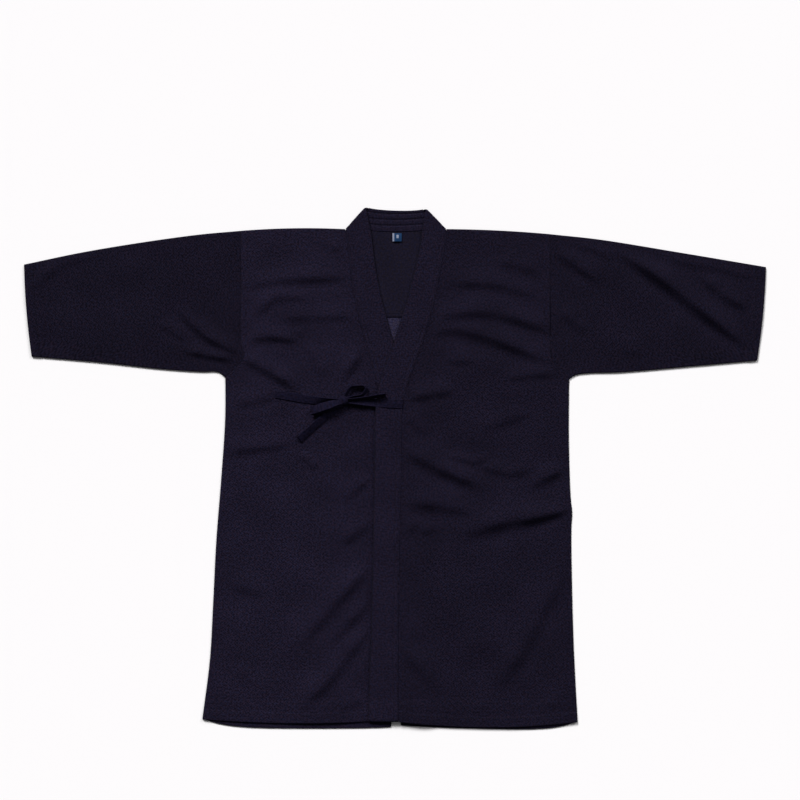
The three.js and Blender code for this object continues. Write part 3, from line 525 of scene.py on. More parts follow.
def mathNode(tree, operation, *values):
    return addNode(tree, "ShaderNodeMath", dict(enumerate(values)), operation=operation).outputs[0]


def noiseNode(tree, place, scale, detail, **inputs):
    return addNode(tree, "ShaderNodeTexNoise", {"Vector": place, "Scale": scale, "Detail": detail, **inputs})


def rangeNode(tree, value, low, high, toLow=0.0, toHigh=1.0, **settings):
    inputs = {0: value, 1: low, 2: high, 3: toLow, 4: toHigh}
    return addNode(tree, "ShaderNodeMapRange", inputs, **settings).outputs[0]


def blendNode(tree, share, low, high):
    return addNode(tree, "ShaderNodeMix", {0: share, 6: low, 7: high}, data_type="RGBA").outputs[2]


def bumpNode(tree, height, strength, deep):
    inputs = {"Height": height, "Strength": strength, "Distance": deep * mm}
    return addNode(tree, "ShaderNodeBump", inputs).outputs[0]


def startMaterial(name):
    material = bpy.data.materials.new(name)
    material.use_nodes = True
    material.node_tree.nodes.clear()
    return material, material.node_tree


def endMaterial(tree, inputs):
    shader = addNode(tree, "ShaderNodeBsdfPrincipled", inputs)
    addNode(tree, "ShaderNodeOutputMaterial", {0: shader.outputs[0]})


# Cotton jersey with a staggered grain. The real grain is 2 to 3 mm apart, which is under two pixels of
# the picture, so it is drawn about 5 mm apart to show. Its crowns are painted lighter and its dips darker, as
# painted highlight and painted shade of the grain, and the yarn's dye wanders between a bluer and a redder
# navy. Noise scales are per mm.
grainLook = {
    "wander": 0.09,
    "yarn": 0.31,
    "dye": 0.25,
    "broad": 0.014,
    "nap": 1.1,
    "weight": 0.13,
    "crown": (0.28, 0.72),
    "spread": (0.3, 0.7),
    "patchy": 0.12,
    "napShare": 0.25,
    "roughSpread": 0.05,
    "sheenRough": 0.5,
    "sheen": "#8C8AB4",
}


def knitMaterial(name, look):
    material, tree = startMaterial(name)
    uv = addNode(tree, "ShaderNodeUVMap", uv_map="cut").outputs[0]
    toMm = {0: uv, 1: (1 / mm,) * 3}
    inMm = addNode(tree, "ShaderNodeVectorMath", toMm, operation="MULTIPLY").outputs[0]
    wander = noiseNode(tree, inMm, grainLook["wander"], 2.0).outputs["Color"]
    moved = {0: wander, 1: (look["wander"],) * 3, 2: inMm}
    shift = addNode(tree, "ShaderNodeVectorMath", moved, operation="MULTIPLY_ADD").outputs[0]
    split = addNode(tree, "ShaderNodeSeparateXYZ", {0: shift})
    turns = []
    for axis, pitch in zip("XY", look["pitch"]):
        angle = mathNode(tree, "MULTIPLY", split.outputs[axis], 2 * math.pi / pitch)
        turns.append(mathNode(tree, "SINE", angle))
    grain = mathNode(tree, "MULTIPLY", *turns)
    yarn = noiseNode(tree, inMm, grainLook["yarn"], 2.0, Roughness=0.6).outputs[0]
    dye = noiseNode(tree, inMm, grainLook["dye"], 1.0).outputs[0]
    broad = noiseNode(tree, inMm, grainLook["broad"], 3.0).outputs[0]
    nap = noiseNode(tree, inMm, grainLook["nap"], 1.0).outputs[0]
    height = mathNode(tree, "MULTIPLY_ADD", grain, grainLook["weight"], yarn)
    # Painted highlight on the grain's crowns and painted shade in its dips, chosen by the grain's height.
    crown = rangeNode(tree, height, *grainLook["crown"], interpolation_type="SMOOTHSTEP")
    tint = rangeNode(tree, dye, *grainLook["spread"])
    paintedShadeDips = blendNode(tree, tint, linear(look["shadedDipRed"]), linear(look["shadedDipBlue"]))
    paintedLightCrowns = blendNode(tree, tint, linear(look["litCrownRed"]), linear(look["litCrownBlue"]))
    low, high = (look["shade"] * (1 + side * grainLook["patchy"]) for side in (-1, 1))
    patchy = rangeNode(tree, broad, *grainLook["spread"], low, high)
    shaded = {0: blendNode(tree, crown, paintedShadeDips, paintedLightCrowns), 3: patchy}
    relief = mathNode(tree, "MULTIPLY_ADD", nap, grainLook["napShare"], height)
    rough, spread = look["rough"], grainLook["roughSpread"]
    endMaterial(tree, {
        "Base Color": addNode(tree, "ShaderNodeVectorMath", shaded, operation="SCALE").outputs[0],
        "Roughness": rangeNode(tree, height, 0.0, 1.0, rough + spread, rough - spread),
        "Normal": bumpNode(tree, relief, look["bump"], look["depth"]),
        "Specular IOR Level": look["specular"],
        "Sheen Weight": look["sheen"],
        "Sheen Roughness": grainLook["sheenRough"],
        "Sheen Tint": linear(grainLook["sheen"]),
    })
    return material


knit = {
    "wander": 9.0,
    "pitch": (5.2, 4.6),
    "rough": 0.86,
    "bump": 0.6,
    "depth": 0.5,
    "specular": 0.04,
    "sheen": 0.02,
}


def dyed(look, colours, shade, **changes):
    names = ("shadedDipRed", "shadedDipBlue", "litCrownRed", "litCrownBlue")
    return dict(look, **dict(zip(names, colours)), shade=shade, **changes)


# The halves and the sleeves are copies of one jersey. Their shade values differ only as painted light and
# shade: the right half is painted lighter, the left half and the sleeves darker.
rightKnitPaintedLighter = dyed(knit, ["#130D1A", "#0D0D1C", "#302537", "#262640"], 0.62)
leftKnitPaintedShade = dict(rightKnitPaintedLighter, shade=0.5)
sleeveKnitPaintedShade = dict(rightKnitPaintedLighter, shade=0.45)
bandKnit = dyed(knit, ["#170F1C", "#0F1022", "#302537", "#262640"], 0.57, depth=0.35)
wrongKnit = dyed(knit, ["#1F1A28", "#1A192E", "#342E3D", "#2D2C46"], 0.98)
fineKnit = dict(knit, depth=0.15)
liningKnit = dyed(fineKnit, ["#16121C", "#121120", "#251F2B", "#1F1E35"], 0.72, pitch=(2.9, 2.9), wander=1.0)
tapeKnit = dyed(fineKnit, ["#150F1F", "#0D0D22", "#2A2238", "#22223F"], 0.5, pitch=(1.5, 1.7), wander=0.6)
jersey = {
    "Right": knitMaterial("cotton_jersey_right_half_painted_light", rightKnitPaintedLighter),
    "Left": knitMaterial("cotton_jersey_left_half_painted_shade", leftKnitPaintedShade),
}
sleeveJersey = knitMaterial("cotton_jersey_sleeves_painted_shade", sleeveKnitPaintedShade)
bandJersey = knitMaterial("cotton_jersey_folded_band", bandKnit)
wrongSide = knitMaterial("cotton_jersey_wrong_side", wrongKnit)
liningCloth = knitMaterial("cotton_lining_plain", liningKnit)
tapeCloth = knitMaterial("cotton_tie_tape", tapeKnit)


# Polyester sewing thread, spun and nearly matt, its colour broken up by a fine twist. It is drawn near black:
# partly its own dark colour, partly painted shade of the stitch holes and seam gaps.
def threadMaterial():
    material, tree = startMaterial("polyester_sewing_thread_with_painted_shade")
    place = addNode(tree, "ShaderNodeTexCoord").outputs["Object"]
    twist = noiseNode(tree, place, 1500.0, 1.0).outputs[0]
    endMaterial(tree, {
        # Near-black thread colour: its own dark colour plus painted shade of the stitch holes.
        "Base Color": blendNode(tree, twist, linear("#050409"), linear("#100D18")),
        "Roughness": 0.7,
        "Normal": bumpNode(tree, twist, 0.4, 0.1),
        "Specular IOR Level": 0.1,
    })
    return material


# Woven damask label: fine blue weft ribs, with one plain pale bar. Sizes in mm.
label = {
    "x": 3.7,
    "top": 417.6,
    "width": 16.4,
    "height": 14.6,
    "thick": 0.5,
    "taper": 0.02,
    "lift": 0.9,
    "bow": 1.4,
    "wave": 0.25,
    "rib": 0.8,
    "paleTo": -1.4,
    "barFrom": 2.6,
    "barTo": 6.6,
    "barLow": 408.6,
    "barHigh": 414.6,
}


def labelMaterial():
    material, tree = startMaterial("polyester_woven_label")
    place = addNode(tree, "ShaderNodeTexCoord").outputs["Object"]
    split = addNode(tree, "ShaderNodeSeparateXYZ", {0: place})
    ribs = mathNode(tree, "MULTIPLY", split.outputs["Y"], 2 * math.pi / (label["rib"] * mm))
    share = rangeNode(tree, mathNode(tree, "SINE", ribs), -1.0, 1.0)
    blue = blendNode(tree, share, linear("#0F2440"), linear("#1C3C62"))
    pale = blendNode(tree, share, linear("#6E7488"), linear("#8C90A2"))

    def test(axis, limit, kind):
        return mathNode(tree, kind, split.outputs[axis], label[limit] * mm)

    inBar = test("X", "barFrom", "GREATER_THAN")
    for axis, limit, kind in (
        ("X", "barTo", "LESS_THAN"),
        ("Y", "barLow", "GREATER_THAN"),
        ("Y", "barHigh", "LESS_THAN"),
    ):
        inBar = mathNode(tree, "MULTIPLY", inBar, test(axis, limit, kind))
    isPale = mathNode(tree, "MAXIMUM", test("X", "paleTo", "LESS_THAN"), inBar)
    endMaterial(tree, {
        "Base Color": blendNode(tree, isPale, blue, pale),
        "Roughness": 0.6,
        "Normal": bumpNode(tree, share, 0.4, 0.1),
        "Specular IOR Level": 0.06,
    })
    return material


thread = threadMaterial()
print("materials made")

# Rows of a body half, and how a turned hem and the seams shape the cloth beside them.
body = {"frontRows": 262, "backRows": 96, "middleColumns": 70, "turn": 3.0, "edgeRound": 1.2, "foldSteps": 10}
swell = {"high": 3.4, "rise": (-190, -80), "fall": (-66, -8)}
valley = {"deep": 1.1, "at": -0.6, "wide": 4}
bandSeam = {"puff": 0.9, "puffWide": 9, "drop": 0.1, "dropWide": 1.6}
armSeam = {"allowance": 0.4, "stitched": 6.6, "groove": 0.25, "drop": 0.5}
hemLook = {"ease": (-1.5, 2.5), "stitched": 1.2, "groove": 0.2, "grooveWide": 0.8}

# Where a front is held flat: over these distances it comes loose, and these shares stay loose.
held = {
    "fromSeam": (-4, 24),
    "fromEdge": (0, 26),
    "atEdge": 0.3,
    "fromShoulder": (-8, 40),
    "fromHem": (0.93, 1),
    "atHem": 0.5,
    "fromArmpit": (4, 40),
    "besideBand": (-12, -3),
    "atSleeve": (-5, 22),
}
farFromHem = 900
hemSteps = [3, 7, 11, 14, 15.2, 16, 16.6, 17.2, 18, 19.4, 21.5]
roundSteps = [90, 68, 46, 24, 0]
columnsFromSeam = [0, 0.8, 1.8, 3, 4.6, 6.5]
columnsFromEdge = [14, 12.4, 11, 9.9, 8.9, 8, 7.2, 6.5, 5.8, 5, 4, 3]
turnAngles = [15, 30, 45, 60, 75, 90]
middle = np.linspace(0, 1, body["middleColumns"] + 2)[1:-1]
inset = columnsFromSeam[-1]
columnShare = np.concatenate([np.zeros(len(columnsFromSeam)), middle, np.ones(len(columnsFromEdge))])
between = mix(inset, -columnsFromEdge[0], middle)
columnOffset = np.concatenate([columnsFromSeam, between, -np.array(columnsFromEdge)])


# Rows that round a turned hem: their distance from its edge, and how far they fall.
def roundedEdge():
    angle = np.radians(roundSteps)
    return body["edgeRound"] * (1 - np.sin(angle)), body["edgeRound"] * (1 - np.cos(angle))


# A turned hem is thicker, with a groove where it is stitched.
def hemHeight(fromHem, hemWidth):
    low, high = hemLook["ease"]
    raised = cloth["hemRise"] * (1 - soften(hemWidth + low, hemWidth + high, fromHem))
    return raised - hemLook["groove"] * dent(fromHem - hemWidth + hemLook["stitched"], hemLook["grooveWide"])


# Plan of a panel: points from its inner line to its outer line, the last ones on the turn.
def panelPlan(inner, edge):
    width = np.abs(edge[:, 0] - inner[:, 0])[:, None]
    share = (columnShare * width + columnOffset) / width
    angle = np.radians(turnAngles)
    turnShare = 1 - body["turn"] * (1 - np.sin(angle)) / width
    share = np.concatenate([share, turnShare], axis=1)
    plan = inner[:, None, :] + (edge - inner)[:, None, :] * share[:, :, None]
    return plan, share, width


# Top surface of a front, from its band's seam to the armhole and the side, which rounds down to the floor.
def frontGrid(half, side, places, fromHem, drop):
    out = half["out"]
    inner = seamAt(half, places)
    inner[:, 0] += cloth["gap"] * out
    edge = outerAt(half, places)
    plan, share, width = panelPlan(inner, edge)
    down = (places / cut["rows"])[:, None]
    onSide = soften(cut["armRows"] - 0.3, cut["armRows"] + 0.7, places)[:, None]
    bow = half["shoulderBow"] * (1 - soften(0, 0.1, down)) + half["hemBow"] * soften(0.8, 1, down)
    plan[:, :, 1] += bulge(share) * bow
    x, y = plan[:, :, 0], plan[:, :, 1]
    fromSeam = share * width
    fromEdge = (1 - share) * width
    fromShoulder = places[:, None] * lengthAlong(half["armPath"])[-1] / cut["armRows"]
    byEdge = mix(1, mix(held["atEdge"], 1, soften(*held["fromEdge"], fromEdge)), onSide)
    byHem = 1 - held["atHem"] * soften(*held["fromHem"], down)
    byShoulder = soften(*held["fromShoulder"], fromShoulder)
    soft = soften(*held["fromSeam"], fromSeam) * byEdge * byShoulder * byHem
    armpit = np.array(half["armhole"][-1])
    soft = soft * soften(*held["fromArmpit"], np.hypot(x - armpit[0], y - armpit[1]))
    loose = creaseHeight(creases["front" + side], x, y) + cloth["loft"] + unevenness(x, y)
    if side == "Right":
        past = x - xOnLine(halves["left"]["freeLine"], y)
        soft = soft * (1 - soften(*held["besideBand"], past))
        loose += swell["high"] * soften(*swell["rise"], past) * (1 - soften(*swell["fall"], past))
    z = frontBase(y) + overlapLift(half, x, y) + cloth["wall"] + loose * soft
    if side == "Right":
        z -= valley["deep"] * dent(past - valley["at"], valley["wide"])
    z += hemHeight(fromHem[:, None], cloth["bodyHem"])
    z += puckers(fromSeam, y) * soften(0, 30, fromShoulder)
    z += bandSeam["puff"] * (1 - soften(0, bandSeam["puffWide"], fromSeam))
    z -= bandSeam["drop"] * (1 - soften(0, bandSeam["dropWide"], fromSeam))
    allowance = armSeam["allowance"] * soften(0.5, 3, fromEdge) * (1 - soften(6.8, 10.4, fromEdge))
    groove = armSeam["groove"] * dent(fromEdge - armSeam["stitched"], 0.8)
    seamed = allowance - groove - armSeam["drop"] * (1 - soften(0, 2, fromEdge))
    z += seamed * (1 - onSide) + puckers(fromEdge, y) * (1 - onSide)
    z -= drop[:, None]
    angle = np.radians(turnAngles)
    last = len(turnAngles)
    fall = (z[:, -last:] - cloth["clearOfFloor"]) * (1 - np.cos(angle))
    z[:, -last:] -= fall * onSide
    return np.stack([x, y, z], axis=2)


def neckPoint(half, share):
    centre = half["out"] * cloth["centreGap"] / 2 + cut["centreX"]
    x = mix(half["neck"][0] + cloth["gap"] * half["out"], centre, share)
    turned = cloth["fold"] * (1 - soften(0, 0.35, share))
    return np.column_stack([x, half["neck"][1] - cut["neckDip"] * soften(-0.3, 1, share) - turned])


def backPlan(half, places, neckShare):
    edge = outerAt(half, places)
    onSide = soften(cut["armRows"], cut["armRows"] + 1, places)
    edge[:, 0] -= half["out"] * (cut["sideInset"] + 2 * cloth["gap"]) * onSide
    inner = neckPoint(half, neckShare)
    down = places / cut["rows"]
    below = neckShare >= 1
    level = edge[:, 1] + (half["slit"][1] - half["side"][-1][1]) * soften(0.92, 1, down)
    opened = np.clip((cut["slitTop"] - level) / (cut["slitTop"] - half["slit"][1]), 0, 1) ** 1.3
    inner[below, 0] = mix(neckPoint(half, np.ones(1))[0, 0], half["slit"][0], opened[below])
    inner[below, 1] = level[below]
    plan, share, width = panelPlan(inner, edge)
    drop = cut["backHemDrop"] * soften(0.9, 1, down)[:, None]
    bow = half["shoulderBow"] * (1 - soften(0, 0.05, down))[:, None]
    plan[:, :, 1] += bulge(share) * bow - drop * share**0.7 * (1 - share**8)
    return plan, share, width


# The back's hem turns up inside it: rows go round the edge, then a short way back.
backHem = {"rise": 2.3, "endDrop": 0.5, "ripple": 0.03, "rippleLength": 5.3}
backHemTurns = [45, 90, 135, 180]


def backGrid(half):
    neckRows = np.linspace(0, 1, 16)
    rowStep = lengthAlong(half["sidePath"])[-1] / cut["sideRows"]
    hemPlaces = cut["rows"] - np.array([24, 12, 6, 3, 1.2]) / rowStep
    lower = np.linspace(4, cut["rows"] - 30 / rowStep, body["backRows"])[1:]
    turned = body["edgeRound"] * (1 - np.sin(np.radians([45, 90, 45, 0]))) / rowStep
    hemBack = np.array([3, 6, 10, 13, 15.4, 16.6]) / rowStep
    places = np.concatenate([neckRows * 4, lower, hemPlaces, cut["rows"] - turned, cut["rows"] - hemBack])
    neckShare = np.concatenate([neckRows, np.ones(len(places) - len(neckRows))])
    plan, share, width = backPlan(half, places, neckShare)
    x, y = plan[:, :, 0], plan[:, :, 1]
    inFrom = soften(0, 25, share * width) * soften(0, 25, (1 - share) * width)
    z = np.maximum(creaseHeight(creases["back"], x, y), 0) * inFrom
    z *= (soften(0, 1.4, places) * (1 - soften(cut["rows"] - 3, cut["rows"] - 1.5, places)))[:, None]
    flat = len(neckRows) + len(lower) + len(hemPlaces)
    for step, angle in enumerate(backHemTurns):
        z[flat + step] = backHem["rise"] / 2 * (1 - math.cos(math.radians(angle)))
    z[flat + len(backHemTurns):] = backHem["rise"]
    z[-1] -= backHem["endDrop"]
    z[flat:] *= 1 + backHem["ripple"] * np.sin(x[flat:] / backHem["rippleLength"])
    return np.stack([x, y, z], axis=2)


def bodyGrid(side):
    half = halves[side.lower()]
    rowStep = lengthAlong(half["sidePath"])[-1] / cut["sideRows"]
    rounded, drop = roundedEdge()
    fromHem = np.concatenate([rounded, hemSteps])
    upper = np.linspace(cut["rows"] - 24 / rowStep, 0.14, body["frontRows"])
    places = np.concatenate([cut["rows"] - fromHem / rowStep, upper, [0]])
    fromHem = np.concatenate([fromHem, (cut["rows"] - upper) * rowStep, [farFromHem]])
    drop = np.concatenate([drop, np.zeros(len(hemSteps) + len(upper) + 1)])
    front = frontGrid(half, side, places, fromHem, drop)
    front[-1, :, 1] -= cloth["fold"]
    back = backGrid(half)
    back[0, :, 1] = front[-1, :, 1]
    back[0, :, 0] = front[-1, :, 0]
    top = front[-1, :, 2]
    fold = []
    for turn in np.radians(np.linspace(0, 180, body["foldSteps"])[1:-1]):
        row = front[-1].copy()
        row[:, 1] += cloth["fold"] * math.sin(turn)
        row[:, 2] = top / 2 * (1 + math.cos(turn))
        fold.append(row)
    return np.concatenate([front, np.array(fold), back])


for side in ("Right", "Left"):
    node = "body_" + side.lower()
    addPiece(node, "cloth", bodyGrid(side), "jersey", [jersey[side], wrongSide], cloth["shell"])
print("body made")

# Sleeves: flattened tubes, set in at the armhole, with a turned hem at the cuff.
tube = {"stations": 104, "topColumns": 92, "backColumns": 30, "edgeSteps": 7}
sleeveStart = {"tuckedIn": 0.3, "drop": 0.45, "dropOver": 2, "waveShift": 37}
backCuffShare = 0.6


# Plan of a sleeve, by shares of its length and of its section from the top line to the lower one.
def sleevePlan(half, along, down):
    top = pointsAlong(half["topPath"], along)[:, None, :]
    low = pointsAlong(half["lowPath"], along)[:, None, :]
    arm = pointsAlong(half["armPath"], down)
    straight = mix(half["armPath"][0], half["armPath"][-1], down[:, None])
    plan = mix(top, low, down[None, :, None])
    plan += (arm - straight)[None] * (1 - along)[:, None, None]
    bow = along[:, None] * cut["cuffBow"] * bulge(down)[None] - sleeveStart["tuckedIn"] * (1 - along)[:, None]
    plan[:, :, 0] += half["out"] * bow
    return plan


def sleeveGrid(side):
    half = halves[side.lower()]
    length = lengthAlong(half["topPath"])[-1]
    armLength = lengthAlong(half["armPath"])[-1]
    cuffLength = math.dist(half["cuffLow"], half["sleeveTop"][-1])
    rounded, drop = roundedEdge()
    fromCuff = np.concatenate([rounded, hemSteps])[::-1]
    drop = np.concatenate([drop, np.zeros(len(hemSteps))])[::-1]
    regular = np.linspace(9, length - 24, tube["stations"])
    run = np.concatenate([columnsFromSeam, regular, length - fromCuff])
    drop = np.concatenate([np.zeros(len(columnsFromSeam) + len(regular)), drop])[:, None]
    along = run / length
    section = mix(armLength, cuffLength, along)[:, None]
    insetShare = float(cloth["fold"] / section.mean())
    down = mix(insetShare, 1 - insetShare, np.linspace(0, 1, tube["topColumns"]))
    plan = sleevePlan(half, along, down)
    x, y = plan[:, :, 0], plan[:, :, 1]
    fromTop = section * down
    fromCuffEdge = (length - run)[:, None]
    soft = soften(*held["fromShoulder"], fromTop) * soften(*held["fromShoulder"], section - fromTop)
    byCuff = 1 - held["atHem"] * soften(length - 60, length, run)
    soft = soft * (byCuff * soften(*held["atSleeve"], run))[:, None]
    loose = creaseHeight(creases["sleeve" + side], x, y) + cloth["loft"]
    loose += unevenness(x + sleeveStart["waveShift"], y)
    z = mix(frontBase(y), overBack, soften(0, 0.12, along)[:, None]) + cloth["wall"] + loose * soft
    z += hemHeight(fromCuffEdge, cloth["cuffHem"]) - drop
    z -= sleeveStart["drop"] * (1 - soften(0, sleeveStart["dropOver"], run))[:, None]
    z += puckers(run[:, None], y) + puckers(np.abs(fromCuffEdge - cloth["cuffHem"]) + 1, y)
    upperLayer = np.stack([x, y, z], axis=2)
    backDown = mix(1 - insetShare, insetShare, np.linspace(0, 1, tube["backColumns"]))
    plan = sleevePlan(half, along, backDown)
    lift = np.maximum(creaseHeight(creases["sleeveBack"], plan[:, :, 0], plan[:, :, 1]), 0)
    lift *= soften(0, 0.12, along)[:, None] * (1 - soften(0.85, 0.95, along))[:, None]
    lift *= soften(0, 30, section * backDown) * soften(0, 30, section * (1 - backDown))
    lowerLayer = np.concatenate([plan, (lift + backCuffShare * drop)[:, :, None]], axis=2)

    def foldOver(topRow, edgeShare, inwards):
        columns = []
        for turn in np.radians(np.linspace(0, 180, tube["edgeSteps"] + 2)[1:-1]):
            share = edgeShare + inwards * insetShare * (1 - math.sin(turn))
            at = sleevePlan(half, along, np.array([share]))[:, 0]
            low = backCuffShare * drop[:, 0]
            height = low + (topRow - low) / 2 * (1 + math.cos(turn))
            columns.append(np.column_stack([at, height]))
        return columns

    under = foldOver(z[:, -1], 1, -1)
    over = foldOver(z[:, 0], 0, 1)[::-1]
    columns = [upperLayer] + [c[:, None] for c in under] + [lowerLayer] + [c[:, None] for c in over]
    return np.concatenate(columns, axis=1)


for side in ("Right", "Left"):
    node = "sleeve_" + side.lower()
    addPiece(node, "cloth", sleeveGrid(side), "jersey", [sleeveJersey, wrongSide], cloth["shell"], ring=True)
print("sleeves made")

# The band: a strip folded into several layers, stitched along both edges and once more beside its seam.
bandLook = {
    "rows": 250,
    "stitchFromSeam": 2.2,
    "secondFromSeam": 9,
    "stitchFromFree": 0.9,
    "groove": 0.3,
    "padding": 0.25,
    "round": 1.8,
    "seamFall": 0.25,
    "freeFall": 0.8,
    "wave": 0.35,
    "lift": 0.3,
    "endRound": 1.5,
    "endThick": 0.35,
}
bandFold = {"angles": [90, 72, 54, 36, 18], "thinner": 0.3, "clear": 0.25, "lean": 2.6}
bandAcross = [0, 0.3, 0.9, 1.6, 2.2, 2.9, 4.2, 6, 7.6, 8.4, 9, 9.6, 10.6, 13, 17, 21.5, 26]
bandFromFree = [14, 10, 7, 4.8, 3.4, 2.4, 1.7, 0.9, 0.3, 0]


# Section of the band: grooves at its stitching, padding between them, and rounded edges.
def bandSectionTop(fromSeam, fromFree):
    height = np.full_like(fromSeam, cloth["band"])
    height -= bandLook["groove"] * dent(fromSeam - bandLook["stitchFromSeam"], 0.7)
    height -= bandLook["groove"] * dent(fromSeam - bandLook["secondFromSeam"], 0.8)
    height -= 2 * bandLook["groove"] * dent(fromFree - bandLook["stitchFromFree"], 0.7)
    height += bandLook["padding"] * soften(9, 20, fromSeam) * soften(2, 14, fromFree)
    for distance, share in ((fromSeam, bandLook["seamFall"]), (fromFree, bandLook["freeFall"])):
        height -= cloth["band"] * share * (1 - rounding(distance, bandLook["round"]))
    return height


def collarFront(side):
    half = halves[side.lower()]
    places = np.concatenate([np.linspace(0.09, 2, 18), np.linspace(2, cut["rows"], bandLook["rows"])[1:]])
    seam = seamAt(half, places)
    free = freeAt(half, places)
    width = np.linalg.norm(free - seam, axis=1)[:, None]
    fromSeam = np.concatenate([np.tile(bandAcross, (len(places), 1)), width - np.array(bandFromFree)], axis=1)
    share = fromSeam / width
    plan = seam[:, None] + (free - seam)[:, None] * share[:, :, None]
    x, y = plan[:, :, 0], plan[:, :, 1]
    base = frontBase(y) + overlapLift(half, x, y)
    ends = soften(0, 3, places)[:, None]
    ripple = 0.16 * np.sin(y / 5.1 + 0.4 * np.sin(y / 31)) + 0.12 * np.sin(y / 3.3)
    soft = dent(fromSeam - 5, 7) + dent(width - fromSeam - 2, 5)
    wave = bandLook["wave"] * unevenness(x * 0.4, y) * ends
    section = bandSectionTop(fromSeam, width - fromSeam)
    top = base + section + ripple * soft * ends + wave + bandLook["lift"]
    under = base + bandLook["lift"] / 2 + np.clip(wave, 0, 1) * 0.5
    run = lengthAlong(seam)
    closing = rounding(run[-1] - run, bandLook["endRound"])[:, None]
    centre = (top + under) / 2
    closing = bandLook["endThick"] + (1 - bandLook["endThick"]) * closing
    top = mix(centre, top, closing)
    under = mix(centre, under, closing)
    upper = np.stack([x, y, top], axis=2)
    lower = np.stack([x, y, under], axis=2)[:, ::-1][:, 1:-1]
    ring = np.concatenate([upper, lower], axis=1)
    return np.concatenate([collarFold(half, seam[0], free[0], share[0], ring[0]), ring])


# At its top the band turns down over the end of the band behind the neck.
def collarFold(half, seamEnd, freeEnd, share, ring):
    run = freeEnd - seamEnd
    run /= np.linalg.norm(run)
    inwards = np.array([-half["out"] * run[1], half["out"] * run[0]])
    corner = mix(0.02, 1, np.concatenate([share, share[::-1][1:-1]]))[:, None]
    foldLine = mix(seamAt(half, np.zeros(1))[0], np.array(half["bandTop"]), corner)
    foldLine += inwards * bandFold["lean"] * soften(0.88, 1, corner) ** 1.5
    radius = cloth["band"] - bandFold["thinner"] + bandFold["clear"]
    atSeam = 1 - soften(0, 0.12, corner[:, 0])
    top = ring[:, 2].max()
    depth = top - ring[:, 2]
    rows = []
    for turn in np.radians(bandFold["angles"]):
        row = np.column_stack([foldLine, ring[:, 2]])
        row[:, :2] += inwards * (radius - (radius - depth + depth * atSeam) * math.sin(turn))[:, None]
        row[:, 2] = top - radius + (radius - depth) * math.cos(turn)
        rows.append(row)
    foot = rows[0].copy()
    foot[:, 2] = cloth["clearOfFloor"]
    middleFoot = mix(foot, rows[0], 0.5)
    return np.array([foot, middleFoot] + rows)


for side in ("Right", "Left"):
    node = "collar_" + side.lower()
    addPiece(node, "band", collarFront(side), "jersey", [bandJersey], ring=True, caps=True)

# The band behind the neck, stitched in rows that pull grooves into its padding.
neckBand = {
    "lines": [0.3, 0.57, 0.84],
    "columns": 72,
    "rows": 60,
    "groove": 1.1,
    "grooveWide": 0.042,
    "deep": 38,
    "clear": 0.3,
    "tuck": 1.45,
    "edgeFall": 1.3,
    "edgeRound": 1.5,
    "foot": 0.05,
}
neckY = halves["left"]["neck"][1]


# Where places across the neck lie: on the left half or not, its neck point, and the share on to the centre.
def acrossNeck(x):
    isLeft = x > cut["centreX"]
    neckX = np.where(isLeft, halves["left"]["neck"][0], halves["right"]["neck"][0])
    return isLeft, neckX, np.clip((x - neckX) / (cut["centreX"] - neckX), 0, 1)


def collarNeck():
    right, left = halves["right"], halves["left"]
    share = np.linspace(0, 1, neckBand["rows"])
    ends = []
    inset = (cloth["band"] + cloth["gap"] + neckBand["clear"]) * neckBand["tuck"]
    for half in (right, left):
        line = mix(half["neck"][0], half["bandTop"][0], share)
        ends.append(line - half["out"] * inset)
    columns = np.linspace(0, 1, neckBand["columns"])
    x = mix(ends[0][:, None], ends[1][:, None], columns)
    neckShare = acrossNeck(x)[2]
    lowY = neckY - cut["neckDip"] * soften(-0.3, 1, neckShare) + cloth["gap"]
    across = (x - right["bandTop"][0]) / (left["bandTop"][0] - right["bandTop"][0])
    topY = mix(right["bandTop"][1], left["bandTop"][1], across)
    topY = topY - cut["collarSag"] * np.sqrt(np.maximum(0, bulge(across)))
    y = mix(lowY, np.maximum(topY - 0.5, lowY + 2), share[:, None])
    height = np.full_like(x, cloth["band"])
    for line in neckBand["lines"]:
        away = share[:, None] - line - 0.012 * np.sin(x / 23)
        height -= neckBand["groove"] * dent(away, neckBand["grooveWide"])
    height += 0.12 * np.sin(x / 2.9 + 5 * share[:, None]) + 0.1 * np.sin(x / 5.3)
    edge = np.minimum(share, 1 - share)[:, None] * neckBand["deep"]
    height -= neckBand["edgeFall"] * (1 - rounding(edge, neckBand["edgeRound"]))
    upper = np.stack([x, y, height], axis=2)
    lower = np.stack([x, y, np.full_like(x, neckBand["foot"])], axis=2)[::-1]
    under = lower[[0, len(lower) // 2, -1]]
    return np.concatenate([upper, under]).transpose(1, 0, 2)


addPiece("collar_neck", "band", collarNeck(), "jersey", [bandJersey], ring=True, caps=True)
print("collar made")

# Lining of the upper back, plain cotton with a narrow turned edge at its foot.
liningLook = {
    "rows": 56,
    "columns": 120,
    "deep": 154,
    "thick": 0.6,
    "sunk": 0.25,
    "wave": 0.2,
    "hemRise": 0.35,
    "stitched": 6.6,
    "groove": 0.2,
    "edgeFalls": [[0.5], [0.2]],
}
liningFoot = [0, 0.5, 1.2, 3, 5, 6.6, 7.4, 8.2, 9.4, 12]


